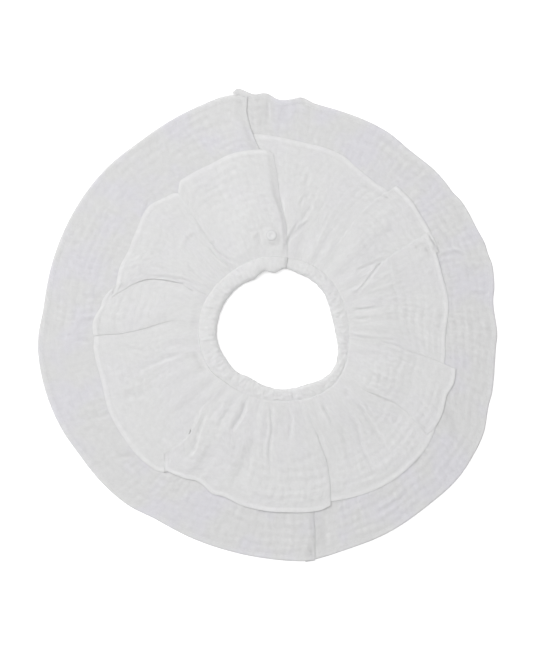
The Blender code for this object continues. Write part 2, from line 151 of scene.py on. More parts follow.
# Noises of the crinkle: height, size along the hem and down the cloth, and seed. They shift the
# bands and the cells, add finer and broader rumples, and make some patches of cloth puff more
BAND_DRIFT = ((0.42, (46, 30), 3.1), (0.13, (11, 9), 7.7))
CELL_DRIFT = ((0.55, (34, 42), 12.4), (0.2, (9, 12), 1.9))
FINE_RUMPLE = ((0.18, (3.4, 2.6), 5.5),)
BROAD_RUMPLE = ((0.3, (13, 11), 14.2),)
PUFF_PATCHES = ((0.8, (60, 44), 9.2),)
PUFF_MEAN, PUFF_LEAST, PUFF_MOST = 0.8, 0.25, 1.4

# Where the crinkle is flatter: closely gathered columns, cloth under the upper tier, cloth under
# the snap cap, turned hems, and cloth that is pressed down or lies at a left end
CLOSE_FROM, CLOSE_RUN = 0.3, 0.5
COVERED_CALM = 0.8
COVERED_REACH, COVERED_RUN = 2.0, 3.0
PAD_CALM = 0.7
HEM_FLATTER = 0.75
PRESSED_FLATTER = 0.5

# Crinkle towards the right of the collar and the left of it: share between, gain, loss, and where
# the gain starts and how soon it is full
LEAN, LEAN_RIGHT, LEAN_LEFT = 0.85, 0.4, 0.12
LEAN_FROM, LEAN_RUN = 0.3, 0.6

# How far the upper hem is pressed down on the lower tier, and the width of cloth that follows it
PRESS = 0.65
PRESS_RUN = 16.0

# Left ends: width of cloth that comes down to what is under it, at the hem and near the neck, the
# radius and run of that change, where it starts out from the neck, and the height it comes down to,
# inside and outside the right part's upper hem
END_RUN = 8.5
END_RUN_NECK = 4.5
END_RUN_RADIUS = (100.0, 30.0)
END_FROM = (64.0, 12.0)
LOWER_END = (2.3, 1.2)
UPPER_END = (2.62, 2.62)
RIGHT_HEM, RIGHT_HEM_RUN = 182.0, 4.0

# Back overlap at the neck, pressed flatter: share, angles from the back opening, and radius
NECK_PRESS = 0.12
NECK_PRESS_ANGLES = (12.0, 16.0)
NECK_PRESS_RADIUS = (82.0, 12.0)

# Right part beside the snap, held up by it: rise, and where the rise starts, ends and fades
SNAP_RISE = 3.2
SNAP_RISE_ANGLES = ((60.0, 24.0), (86.0, 5.0))
SNAP_RISE_RADII = ((52.0, 10.0), (98.0, 36.0))

# Casing beside its left end: rise of the right end, its angles, and how far the left end comes
# down. The tiers' left ends come down with it, out to a radius
CASING_RISE = 2.2
CASING_RISE_ANGLES = ((64.0, 15.0), (81.5, 4.0))
CASING_DROOP, CASING_DROOP_RUN = 1.3, 10.0
TIER_DROOP, TIER_DROOP_RADIUS = 1.6, (64.0, 10.0)

# Cloth under the snap cap, drawn flat: how far out that reaches and fades, and how far up the cap
# the middle of the cloth is
PAD_REACH, PAD_RUN = 8.0, 3.0
PAD_SINK = 0.3

# Hems: width, extra thickness of the turned cloth and the run of its step, depth and half width of
# the stitched groove, how far inside the step it is sewn, and the edge's rounding and thickness
HEM_WIDTH = 4.7
HEM_EXTRA = 0.2
HEM_STEP_RUN = 0.8
HEM_GROOVE, HEM_GROOVE_WIDTH = 0.05, 0.9
HEM_SEWN_IN = 0.2
EDGE_ROUNDING = 1.4
EDGE_THICKNESS = 0.35

# Pucker of a hem beside its sewing: height, spacing, drift with its size, and how far it reaches
HEM_PUCKER = 0.07
HEM_PUCKER_SPACING = 5.1
HEM_PUCKER_DRIFT = ((2.0, (25, 25), 4.4),)
HEM_PUCKER_REACH = 5.0

# Casing: its crown, its mean radius, its ruching with the steps along each pucker, how round they
# are and their level, its lumps, the share of both on the flat left end, and how far it closes at
# its ends
BAND_CROWN = 0.22
CASING_RADIUS = 60.0
PUCKERS = 84
PUCKER_STEPS = 9
PUCKER_RISE = 0.2
PUCKER_ROUNDNESS, PUCKER_LEVEL = 0.8, 0.5
LUMP_RISE = 0.65
END_PUCKERS = 0.35
END_CLOSED, END_CLOSED_RUN = 0.45, 2.5

# Noises of the ruching: height, size along the casing and round its section, and seed
PUCKER_SWAY = ((0.5, (9, 2.4), 2.2), (0.6, (26, math.inf), 6.1))
PUCKER_PATCHES = ((0.95, (13, 4), 8.8),)
PUCKER_MEAN, PUCKER_LEAST, PUCKER_MOST = 0.75, 0.1, 1.5
LUMPS = ((1.0, (4.6, 1.1), 5.2), (0.45, (2.3, 0.7), 3.3))

# Points round its section, where on the section its top sewing lies, how deep and how wide, and the
# casing's marks for its finish: how solid its cloth is, and the painted shade in the hollows of its
# puckers
SECTION_POINTS = 37
TOP_SEWING = 6.4
TOP_GROOVE, TOP_GROOVE_WIDTH = 0.15, 0.28
CASING_SOLID, CASING_PAINTED_SHADE = 0.4, 0.5

# Its section, from the lower leg at the seam round the neck edge to the upper leg: shares across
# from hole to seam and up from floor to top, of the puckers inwards and upwards, and of the crown
BAND_SECTION = (
    (1.0, 0.0, 0.0, 0.0, 0.0),
    (0.17, 0.0, 0.0, 0.0, 0.0),
    (0.0, 0.3, 0.2, 0.0, 0.0),
    (0.0, 0.62, 0.7, 0.0, 0.0),
    (0.15, 0.93, 0.3, 0.7, 0.4),
    (0.5, 0.95, 0.0, 1.0, 1.0),
    (0.8, 0.91, 0.0, 0.7, 0.6),
    (1.01, 0.8, 0.0, 0.2, 0.0),
    (1.07, 0.42, 0.0, 0.1, 0.0),
)

# Sewing: thread across, stitch length, the gap between stitches, how far out of the cloth a
# stitch's middle is as a share of the thread, and the steps round and along its oval
THREAD = 0.3
STITCH = 2.5
STITCH_GAP = 0.8
STITCH_OUT = -0.15
STITCH_STEPS = (8, 5)

# Gauze finish: spacing of the threads, sizes in metres of the slubs along them, of the rumples
# between them, of the patches of tone, of the mottle and of the grain
THREAD_PITCH = 0.62
SLUB_ACROSS, SLUB_ALONG = 0.0005, 0.009
RUMPLE_SIZES = (0.0026, 0.0019)
PATCH_SIZE, MOTTLE_SIZE, GRAIN_SIZE = 0.045, 0.005, 0.0012

PATCH_BAND = (0.46, 0.6)

# Its lightness: even part, and what threads, turned hems, mottle and grain add, and painted shade
# from the puff mark, darker in the hollows of crinkle, creases and puckers and lighter on their
# puffs
EVEN_LIGHT = 0.94
THREAD_LIGHTER, HEM_LIGHTER, PAINTED_SHADE_GAIN = 0.05, 0.035, 0.055
MOTTLE_LIGHTER, GRAIN_LIGHTER = 0.15, 0.05

# Its relief: how much the threads stand out beside the rumples, depth in metres, and strength
WEAVE_SHARE, WEAVE_DEPTH, WEAVE_STRENGTH = 0.35, 0.0002, 0.42

# Its roughness between the threads, and how much smoother they are
GAUZE_ROUGHNESS, THREAD_SMOOTHER = 0.95, 0.08

# Sewing thread: scale of its twist, and the twist's depth in metres and strength
TWIST_SCALE, TWIST_DEPTH, TWIST_STRENGTH = 900.0, 0.00005, 0.4

# Snap's plastic: size of the flow in its surface, its depth in metres and strength, the least
# roughness, and what the flow adds
FLOW_SIZE, FLOW_DEPTH, FLOW_STRENGTH = 0.0012, 0.00002, 0.3
PLASTIC_ROUGHNESS, FLOW_ROUGHER = 0.38, 0.12

# Size in metres of the floor's grain
FLOOR_GRAIN = 0.02

# Shader settings that are the same all over each finish
GAUZE_SHADER = {
    "Roughness": 0.92,
    "Sheen Weight": 0.15,
    "Sheen Roughness": 0.6,
    "Specular IOR Level": 0.2,
    "Subsurface Weight": 0.5,
    "Subsurface Radius": (1.0, 1.0, 1.0),
    "Subsurface Scale": 0.0012,
}
THREAD_SHADER = {"Roughness": 0.7}
PLASTIC_SHADER = {"Roughness": 0.44}
FLOOR_SHADER = {
    "Roughness": 0.9,
    "Specular IOR Level": 0.1,
    "Emission Color": (1.0, 1.0, 1.0, 1.0),
    "Emission Strength": 0.2,
}

# Snap cap's profile: share of the rim's radius, height, and steps round it
CAP_PROFILE = (
    (0.0, 0.78), (0.16, 0.79), (0.28, 0.84), (0.37, 0.98), (0.45, 1.1), (0.54, 1.15), (0.66, 1.13),
    (0.78, 1.04), (0.88, 0.9), (0.95, 0.73), (0.99, 0.55), (1.0, 0.4), (1.0, 0.0), (0.0, 0.0),
)
CAP_STEPS = 56

# Colours
LOWER_NEUTRAL = (0.656, 0.655, 0.655, 1.0)
LOWER_COOL = (0.653, 0.647, 0.677, 1.0)
UPPER_NEUTRAL = (0.729, 0.729, 0.729, 1.0)
UPPER_COOL = (0.727, 0.724, 0.733, 1.0)
THREAD_DARK = (0.68, 0.68, 0.685, 1.0)
THREAD_LIGHT = (0.78, 0.78, 0.785, 1.0)
PLASTIC_DARK = (0.62, 0.62, 0.625, 1.0)
PLASTIC_LIGHT = (0.645, 0.645, 0.65, 1.0)
FLOOR_DARK = (0.93, 0.93, 0.93, 1.0)
FLOOR_LIGHT = (0.95, 0.95, 0.95, 1.0)

# Stage: floor, surround, the light panels with place and size across, both in metres, and power,
# and the camera straight above
FLOOR_REACH = 3000.0
FLOOR_DROP = 0.3
SURROUND_LIGHT = 0.24
PANELS = (
    ("top_panel", (-0.35, 0.3, 2.4), 2.4, 56.0),
    ("side_panel", (-1.5, 1.3, 1.5), 2.0, 11.0),
)
CAMERA_HEIGHT = 2000.0
CAMERA_SENSOR = 36.0
FRAME_HEIGHT = 666
PIXEL = 0.9
VIEW_X = -0.23
VIEW_Y = -6.37

# Neck casing: angle, radius of the neck hole, radius of the seam with the ruffles
NECK = (
    (0, 51.6, 64.4), (20, 50.4, 64.0), (40, 53.5, 65.0), (60, 54.4, 65.3), (70, 54.3, 65.1),
    (79, 55.5, 65.0), (85, 55.6, 65.0), (93, 51.9, 65.0), (97, 52.7, 65.2), (102, 54.6, 65.6),
    (108, 53.4, 65.7), (115, 50.9, 65.7), (130, 52.6, 66.2), (150, 54.0, 68.4),
    (170, 55.0, 70.2), (190, 55.8, 70.6), (210, 54.0, 70.0), (225, 53.5, 66.2), (238, 50.4, 65.0),
    (255, 51.8, 64.0), (275, 54.0, 64.6), (295, 55.3, 67.5), (305, 57.5, 69.2), (315, 60.4, 70.2),
    (330, 60.4, 69.0), (345, 55.9, 66.0),
)

# Lower hem: running angle, radius
LOWER_HEM = (
    (97.3, 211.5), (102, 215.6), (109, 213.8), (120, 211.3), (127, 210.5), (137, 212.3),
    (150, 212.5), (165, 212.0), (175, 212.1), (181, 215.6), (186, 216.9), (196, 216.1),
    (205, 213.9), (212, 211.0), (222, 209.5), (230, 207.1), (237, 202.7), (247, 202.6),
    (257, 203.5), (266, 205.5), (274, 208.2), (279, 210.0), (284, 208.3), (290, 206.9),
    (300, 207.6), (312, 207.7), (322, 209.8), (330, 208.6), (333.5, 207.7), (336, 206.3),
    (339, 203.4), (342, 201.3), (345, 200.8), (348, 199.4), (353, 197.3), (357, 196.8),
    (360, 197.3), (363, 196.3), (366, 195.2), (369, 195.5), (372, 198.2), (375, 200.1),
    (378, 201.5), (381, 201.1), (384, 201.8), (388, 200.9), (393, 201.6), (396, 201.7),
    (399, 200.4), (402, 200.9), (405, 201.3), (408, 201.2), (411, 200.6), (415, 200.8),
    (422, 203.8), (435, 205.0), (441, 206.5), (444.5, 210.4), (447, 207.9), (450, 207.5),
    (453, 213.4), (456, 213.4), (459.5, 220.4), (460.8, 217.8),
)

# Upper hem: running angle, radius. Each panel lies between two laid folds
UPPER_HEM = (
    ((91.6, 159.4), (94.5, 162.4), (98, 163.3), (105, 163.7), (112, 161.1), (121, 160.6),
     (123.3, 160.0), (125.8, 153.0)),
    ((126.2, 149.5), (129, 150.8), (131, 154.8), (134, 157.0), (138, 160.6), (140.5, 160.8),
     (143, 159.0), (146, 156.4), (151, 153.6), (153, 152.4), (156, 152.6), (159, 153.2),
     (165, 151.2), (168.7, 152.6)),
    ((169.2, 152.8), (171, 156.8), (173, 160.2), (175, 161.4), (177, 165.0), (179, 167.0),
     (181.6, 166.2)),
    ((182, 165.0), (187, 165.6), (190, 166.8), (196, 165.6), (200, 166.0), (206, 169.0),
     (212, 169.4), (219, 169.7), (223, 168.7), (225, 167.4), (227.3, 163.4)),
    ((227.8, 152.4), (229.2, 155.5), (231, 161.0), (233.5, 160.5), (235.5, 159.0), (238, 157.6),
     (241.5, 154.3), (244.5, 155.1), (248, 158.6), (252, 157.5), (258, 160.9), (262, 162.1),
     (267, 163.3), (273, 164.2), (276, 165.1), (283, 166.5), (286.4, 164.8)),
    ((286.8, 159.0), (290, 161.3), (295, 164.5), (303, 168.9), (310, 170.6), (318, 170.4),
     (324.8, 166.0)),
    ((325.2, 163.6), (328.5, 166.1), (334, 165.4), (338.5, 162.8), (343, 165.2), (345.5, 164.6),
     (347.3, 163.5)),
    ((347.7, 153.9), (353, 152.6), (357, 151.4), (360, 150.4), (364, 151.4), (370, 154.7),
     (375, 155.6), (380, 155.7), (388, 158.7), (392.8, 160.2)),
    ((393.2, 161.0), (396, 162.3), (400, 163.8), (403, 165.0), (405.5, 166.9), (408, 167.4),
     (410.3, 167.6)),
    ((410.7, 158.8), (413, 157.8), (416, 159.3), (419, 158.7), (422, 159.6), (425, 161.0),
     (428, 163.4), (430.5, 166.2), (433, 167.8), (437.7, 169.3), (443.3, 170.1), (447, 171.5),
     (450.6, 173.3), (454.1, 175.3), (457, 177.0), (461, 178.5)),
)

# Laid folds: angle of the visible edge at the hem, at FOLD_MIDDLE and at FOLD_INNER, whether the
# panel before or after it lies on top, the overlap at the hem, and the radius where it begins
UPPER_FOLDS = (
    (126.0, 126.8, 127.5, "before", 10.0, 84.0),
    (169.0, 159.0, 154.2, "before", 10.0, 84.0),
    (181.8, 180.2, 174.5, "before", 16.0, 90.0),
    (227.5, 229.6, 225.6, "after", 12.0, 86.0),
    (286.6, 290.2, 290.0, "before", 9.0, 88.0),
    (325.0, 328.0, 325.6, "after", 13.0, 82.0),
    (347.5, 350.2, 351.8, "before", 13.0, 82.0),
    (393.0, 393.2, 392.4, "before", 20.0, 82.0),
    (410.5, 414.6, 415.4, "before", 9.0, 88.0),
)
LOWER_FOLDS = ((279.0, 283.0, 283.0, "before", 8.0, 96.0),)

# End edges: radius, upper left, lower left, upper right, lower right
UPPER_COLUMNS = (1, 3)
LOWER_COLUMNS = (2, 4)
END_EDGES = (
    (55, 83.0, 84.0, 459.6, 459.6), (76, 83.8, 85.2, 459.6, 459.8), (94, 85.6, 87.6, 459.6, 460.0),
    (117, 89.0, 91.2, 459.6, 460.2), (141, 90.5, 93.8, 459.7, 460.4),
    (160, 91.6, 95.4, 459.8, 460.6), (172, 91.6, 96.8, 459.9, 460.7),
    (185, 91.6, 97.7, 460.0, 460.8), (198, 91.6, 98.0, 460.0, 460.8),
    (212, 91.6, 97.3, 460.0, 460.8), (224, 91.6, 97.3, 460.0, 460.8),
)

# Height of what the left end lies on, across the overlap: radius, height
OVERLAP_STACK = (
    (60, 6.5), (76, 6.4), (92, 6.4), (106, 6.3), (124, 4.4), (140, 3.3), (181, 3.2), (192, 1.5),
    (225, 1.5),
)

# Creases: share of its length over which one tapers at each end, the ridge beside a one-sided
# trough and the banks on both sides of an even one, with height as a share of the depth and
# distance in half widths, and how many half widths out it ends
CREASE_TAPER = 0.3
RIDGE_HEIGHT, RIDGE_OUT = 0.55, 1.5
BANK_HEIGHT, BANK_OUT = 0.25, 1.7
CREASE_REACH = 3.0

# Soft creases of a tier: depth of the trough, its half width, the side of its ridge, counter-
# clockwise 1 or clockwise -1, and the places (angle, radius) that it passes
UPPER_CREASES = (
    (0.9, 1.8, 1, (228.5, 97), (232.5, 120), (234.8, 131), (234.1, 146)),
    (1.0, 1.7, 1, (244.0, 67), (247.1, 79), (245.9, 93), (245.1, 102)),
    (0.8, 5.0, 0, (256.5, 93), (257.4, 105), (253.9, 133), (253.9, 146)),
    (1.1, 1.5, -1, (258.5, 65), (264.4, 69), (266.6, 90), (265.7, 105), (266.4, 128)),
    (0.9, 1.5, 1, (277.9, 69), (278.3, 83), (275.3, 103)),
    (0.5, 2.0, 1, (289.8, 72), (290.1, 82), (291.5, 104), (291.0, 121)),
    (0.8, 1.6, -1, (300.6, 75), (300.6, 90), (299.3, 101)),
    (0.6, 3.0, 0, (274.8, 119), (279.6, 119), (286.1, 117)),
    (1.2, 1.8, 1, (316.4, 85), (316.6, 97), (316.6, 103), (314.2, 123), (313.0, 138), (312.3, 148)),
    (0.9, 1.8, 1, (310.1, 93), (309.4, 111), (307.4, 121), (305.0, 133), (304.2, 155)),
    (0.6, 2.6, -1, (304.6, 98), (300.6, 120), (297.2, 142)),
    (1.1, 1.0, 1, (354.6, 84), (352.4, 110), (350.0, 132), (348.7, 150)),
    (0.5, 2.0, 1, (350.7, 80), (351.3, 99), (348.3, 116), (347.9, 133)),
    (0.8, 1.6, 1, (356.9, 60), (355.2, 75), (355.2, 90), (355.7, 109)),
    (0.7, 1.4, -1, (346.7, 109), (346.1, 116), (345.9, 125)),
    (0.5, 1.8, 1, (326.3, 91), (326.5, 97), (325.9, 111), (328.1, 126)),
    (0.6, 2.4, 0, (335.9, 93), (333.9, 102), (335.2, 116)),
    (1.1, 1.4, 1, (375.2, 69), (373.4, 81), (372.9, 94)),
    (0.7, 1.6, -1, (369.2, 67), (367.5, 76), (367.9, 85)),
    (0.5, 2.2, 1, (381.9, 80), (380.4, 98), (379.9, 119)),
    (0.8, 0.9, 1, (394.0, 157), (394.0, 136), (393.8, 116), (393.8, 104)),
    (1.3, 0.95, 1, (393.8, 120), (392.3, 104), (388.1, 88), (384.6, 74)),
    (1.0, 1.2, 1, (393.4, 120), (395.0, 107), (396.0, 97), (398.1, 85)),
    (0.4, 1.6, 1, (393.2, 159), (393.0, 154), (392.8, 145)),
    (0.8, 3.6, 0, (402.0, 126), (401.7, 134), (401.4, 140)),
    (0.2, 1.6, 1, (415.0, 121), (413.1, 135), (411.4, 150)),
    (0.8, 1.3, -1, (412.8, 150), (412.0, 152), (411.1, 156)),
    (0.9, 1.6, 1, (445.1, 74), (442.0, 88), (439.0, 99)),
    (0.7, 1.8, -1, (439.0, 99), (436.6, 105), (435.1, 118)),
    (0.6, 1.6, 1, (440.8, 112), (439.2, 120), (437.6, 126)),
    (0.7, 1.6, 1, (443.0, 82), (437.8, 94), (433.0, 104)),
    (0.8, 1.4, 1, (107.4, 94), (104.9, 91), (102.2, 91)),
    (0.8, 1.4, -1, (102.2, 91), (101.8, 84), (102.2, 77)),
    (0.8, 1.2, 1, (95.4, 77), (92.0, 76), (448.3, 77)),
    (0.75, 1.5, -1, (126.4, 129), (127.6, 110), (128.0, 97)),
    (1.05, 1.4, -1, (127.8, 101), (127.2, 89), (124.1, 77), (118.9, 69)),
    (0.9, 1.3, 1, (129.9, 101), (130.0, 87), (128.0, 73), (124.5, 67)),
    (0.9, 1.5, 0, (128.8, 100), (127.5, 98), (125.5, 96)),
    (0.6, 2.2, 1, (129.2, 114), (135.0, 115), (140.9, 111)),
    (0.8, 1.6, 1, (130.5, 169), (128.9, 162), (128.0, 152)),
    (0.7, 1.4, -1, (130.8, 158), (127.5, 160), (124.0, 163)),
    (0.7, 1.5, -1, (157.7, 136), (157.2, 126), (155.6, 116), (152.2, 99), (151.2, 87), (149.2, 76)),
    (0.5, 1.5, 1, (156.0, 115), (153.9, 100), (153.4, 89), (153.6, 76), (154.1, 66)),
    (0.5, 1.8, 1, (152.0, 130), (152.3, 122), (151.1, 110)),
    (0.6, 1.6, -1, (143.5, 103), (145.3, 96), (145.3, 89)),
    (0.8, 1.6, 1, (197.0, 135), (195.4, 122), (194.3, 105), (193.6, 86)),
    (0.9, 2.4, -1, (193.2, 79), (201.2, 77), (214.1, 77)),
    (0.15, 1.6, 1, (181.0, 149), (180.4, 135), (179.5, 117), (176.8, 100), (173.2, 83)),
    (0.6, 1.6, -1, (185.4, 143), (187.5, 131), (188.9, 117)),
    (0.6, 3.4, 0, (203.9, 156), (203.8, 143), (205.8, 128)),
    (0.6, 2.4, -1, (438.5, 146), (439.5, 130)),
    (0.8, 5.0, 0, (241.0, 152), (240.5, 136), (240.0, 118)),
    (0.7, 1.8, 1, (300.5, 90), (300.5, 79)),
    (0.7, 2.0, 1, (317.0, 88), (318.5, 80)),
    (0.6, 1.8, 1, (385.0, 82), (386.5, 74)),
    (0.6, 2.0, -1, (357.0, 99), (358.0, 86)),
)
LOWER_CREASES = (
    (1.3, 1.8, 1, (385.0, 158), (384.6, 162), (383.9, 174), (381.1, 183)),
    (1.0, 1.8, 1, (371.4, 174), (370.5, 183), (369.7, 193)),
    (0.6, 2.4, 0, (378.6, 175), (377.9, 182), (377.2, 192)),
    (1.0, 4.0, 0, (335.9, 166), (332.5, 176), (328.2, 190)),
    (0.8, 1.8, 1, (298.2, 187), (303.2, 187), (308.5, 189)),
    (1.1, 4.6, 0, (282.6, 170), (282.0, 186), (281.0, 204)),
    (0.9, 1.8, 1, (182.5, 183), (183.0, 175), (183.1, 166)),
    (0.9, 1.8, -1, (177.1, 178), (177.0, 173), (176.5, 164)),
    (0.9, 1.8, 1, (170.7, 178), (169.9, 170), (169.6, 159)),
    (0.7, 1.8, 1, (205.0, 192), (205.5, 180), (206.8, 169)),
    (0.8, 2.0, -1, (218.0, 184), (219.1, 179), (221.4, 170)),
    (0.6, 2.4, 1, (219.5, 187), (218.7, 180), (220.5, 172)),
    (0.8, 1.6, -1, (123.7, 175), (123.4, 170), (123.3, 164)),
    (0.6, 2.2, 1, (133.5, 167), (137.0, 162), (140.8, 157)),
    (0.5, 2.6, 0, (264.1, 139), (264.0, 154), (265.2, 172)),
    (1.2, 1.6, -1, (92.6, 210), (92.7, 200), (92.8, 187)),
    (0.8, 2.0, 1, (449.0, 203), (448.7, 196), (449.2, 187)),
    (0.6, 2.0, -1, (445.2, 206), (444.8, 197), (443.9, 186)),
    (0.8, 1.8, 0, (393.6, 171), (389.1, 174), (385.5, 174)),
    (0.5, 3.0, 0, (376.5, 176), (376.5, 184)),
    (0.5, 2.6, 1, (217.5, 185), (219.0, 176), (220.5, 171)),
)

# Lighter and darker areas of the cloth: lighter where the lower tier's left end lies over more
# layers, painted shade beside that end and towards the lower right, and painted light on the upper
# tier near the neck on the right. Running angle and radius of the middle, how far each way it
# reaches in degrees and in millimetres, amount
LOWER_TONE_AND_PAINTED_SHADE = (
    (99.0, 190.0, 3.6, 30.0, 0.8),
    (454.0, 196.0, 3.5, 16.0, -0.5),
    (330.0, 190.0, 55.0, 60.0, -0.3),
)
UPPER_PAINTED_LIGHT = ((345.0, 80.0, 65.0, 22.0, 0.5),)


def smooth(value):
    """0 below 0, 1 above 1, and an even S between."""
    value = np.clip(value, 0.0, 1.0)
    return value * value * (3.0 - 2.0 * value)


def read_row(table, at, column):
    """A column of a table at places between its rows, on a curve through them."""
    rows = np.array([[row[0], row[column]] for row in table], float)
    places, values = rows[:, 0], rows[:, 1]
    last = len(table) - 1
    low = np.clip(np.searchsorted(places, at, side="left") - 1, 0, last - 1)
    high, before, after = low + 1, np.maximum(low - 1, 0), np.minimum(low + 2, last)
    span = places[high] - places[low]
    share = np.clip((at - places[low]) / span, 0.0, 1.0)
    slope_low = span * (values[high] - values[before]) / (places[high] - places[before])
    slope_high = span * (values[after] - values[low]) / (places[after] - places[low])
    square, cube = share * share, share**3
    return (
        values[low] * (2 * cube - 3 * square + 1)
        + slope_low * (cube - 2 * square + share)
        + values[high] * (3 * square - 2 * cube)
        + slope_high * (cube - square)
    )


NECK_ROUND = (
    tuple((row[0] - 360,) + row[1:] for row in NECK[-2:])
    + NECK
    + tuple((row[0] + 360,) + row[1:] for row in NECK[:3])
)


def hole_radius(angle):
    return read_row(NECK_ROUND, np.mod(angle, 360), 1)


def seam_radius(angle):
    return read_row(NECK_ROUND, np.mod(angle, 360), 2)


def fullness(angle):
    """How much the gathers stand up: pressed flat at the right end and near the snap."""
    begun = smooth((angle - GATHERS_FROM[0]) / GATHERS_FROM[1])
    return begun * (1.0 - smooth((angle - GATHERS_TO[0]) / GATHERS_TO[1]))


def neck_lift(angle):
    """How far the casing's left end is raised by the right end under it."""
    flat_band = 4 * (WALL + SEAM_GAP)
    return flat_band * (1.0 - smooth((angle - OVERLAP_END) / NECK_RAMP))


def cloth_lift(angle, radius):
    """How far the left part of the lower tier is raised by the layers under it."""
    along = np.radians(angle - OVERLAP_END) * radius
    return read_row(OVERLAP_STACK, radius, 1) * (1.0 - smooth(along / CLOTH_RAMP))


def drift(table, turn):
    """Sum of a table's drifts at a turn in radians."""
    return sum(size * np.sin(cycles * turn + start) for cycles, size, start in table)


def uneven_wave(angle, waves):
    """A wave between 0 and 1 whose spacing, height and width vary round the neck."""
    turn = np.radians(angle)
    phase = waves * turn + drift(SPACING_DRIFT, turn)
    (fast, fast_start), (slow, slow_start) = HEIGHT_DRIFT
    swing = np.sin(fast * turn + fast_start) * np.sin(slow * turn + slow_start)
    return (HEIGHT_MIDDLE + HEIGHT_SPREAD * swing) * (0.5 + 0.5 * np.cos(phase))


def lower_room(angle, radius):
    """Height that the lower tier's gathers take at this place."""
    out = radius - seam_radius(angle)
    rise = BAND_WAVE + LOWER_RISE * smooth(out / LOWER_RISE_RUN)
    return fullness(angle) * rise * (1.0 - smooth((out - LOWER_FADE_FROM) / LOWER_FADE_RUN))


def lower_base(angle, radius):
    """Height of the lower tier's underside between its gathers."""
    held = 1.0 - smooth((radius - seam_radius(angle)) / SEAM_RUN)
    at_neck = neck_lift(angle) + WALL + SEAM_GAP
    return held * at_neck + (1.0 - held) * cloth_lift(angle, radius)


def upper_room(angle, radius):
    """Height of the upper tier's gathers, long and short ones in turn."""
    out = radius - seam_radius(angle)
    run = UPPER_FADE_RUN + drift(REACH_DRIFT, np.radians(angle))
    rise = BAND_WAVE + UPPER_RISE * smooth(out / UPPER_RISE_RUN)
    fading = 1.0 - smooth((out - UPPER_FADE_FROM) / run)
    return fullness(angle) * (UPPER_LEAST + (rise - UPPER_LEAST) * fading)


def lower_fold_room(angle, radius):
    """Height of the lower tier's laid fold, and of the slope up to it."""
    fold = LOWER_FOLDS[0]
    turn, hidden = fold_state(fold, radius, LOWER_FOLD_HEM)
    before = np.radians(fold[0] - angle) * radius - LOWER_SLOPE - 2 * FOLD_LEAD
    after = np.radians(angle - fold[1]) * radius - FOLD_LEAD
    window = (1.0 - smooth(before / LOWER_SLOPE)) * (1.0 - smooth(after / LOWER_SLOPE))
    return fold_height(turn, hidden) * window


def seam_lift(angle, radius):
    """Rise of the upper tier beside the casing, which is most on one side of the neck."""
    out = radius - seam_radius(angle)
    side = smooth(0.5 + SEAM_LIFT_SIDED * np.cos(np.radians(angle - SEAM_LIFT_ANGLE)))
    lift = sum(rise * (1.0 - smooth((out - start) / run)) for rise, start, run in SEAM_LIFTS)
    return lift * fullness(angle) * side * smooth(out / SEAM_LIFT_INSIDE + 1.0)


def upper_base(angle, radius):
    stack = lower_base(angle, radius) + WALL + lower_room(angle, radius) + SEAM_GAP
    return stack + lower_fold_room(angle, radius) + seam_lift(angle, radius)


def fold_angle(fold, radius, hem):
    """Angle of a fold's visible edge at a radius."""
    path = ((FOLD_INNER, fold[2]), (FOLD_MIDDLE, fold[1]), (hem, fold[0]))
    return read_row(path, max(radius, FOLD_INNER), 1)


def fold_state(fold, radius, hem):
    """Turn of the cloth in radians, and length of the hidden layer, at a radius."""
    share = (radius - fold[5]) / (hem - fold[5])
    turn = math.pi * np.maximum(FOLD_LEAST_TURN, smooth(share / FOLD_CLOSED))
    widening = np.clip((share - HIDDEN_FROM) / (1.0 - HIDDEN_FROM), 0.0, 1.0)
    return turn, HIDDEN_LEAST + (fold[4] - HIDDEN_LEAST) * widening


def fold_height(turn, hidden):
    bend = math.pi * FOLD_BEND / turn
    return 2 * bend * (1 - np.cos(turn)) + hidden * np.sin(turn)


def fold_path(turn, hidden, middle_steps):
    """Points (along, height, share of the way) from the top panel, over the edge, back under it
    and out again. The way is counted between the two bends once the fold is closed."""
    arc = math.pi * FOLD_BEND
    bend = arc / turn
    inset = arc * turn / math.pi
    span = 2 * arc + hidden - 2 * inset
    start = -bend * math.sin(min(turn, math.pi / 2))
    top = fold_height(turn, hidden)
    points = []
    for step in range(ARC_STEPS + 1):
        part = turn * step / ARC_STEPS
        way = smooth((arc * step / ARC_STEPS - inset) / span)
        points.append((start + bend * math.sin(part), top - bend * (1 - math.cos(part)), way))
    along, height, _ = points[-1]
    for step in range(1, middle_steps + 1):
        length = hidden * step / middle_steps
        way = smooth((arc + length - inset) / span)
        points.append((along + length * math.cos(turn), height - length * math.sin(turn), way))
    along, height, _ = points[-1]
    for step in range(1, ARC_STEPS + 1):
        part = turn - turn * step / ARC_STEPS
        way = smooth((arc + hidden + arc * step / ARC_STEPS - inset) / span)
        points.append((
            along + bend * (math.sin(turn) - math.sin(part)),
            height - bend * (math.cos(part) - math.cos(turn)),
            way,
        ))
    return np.array(points)


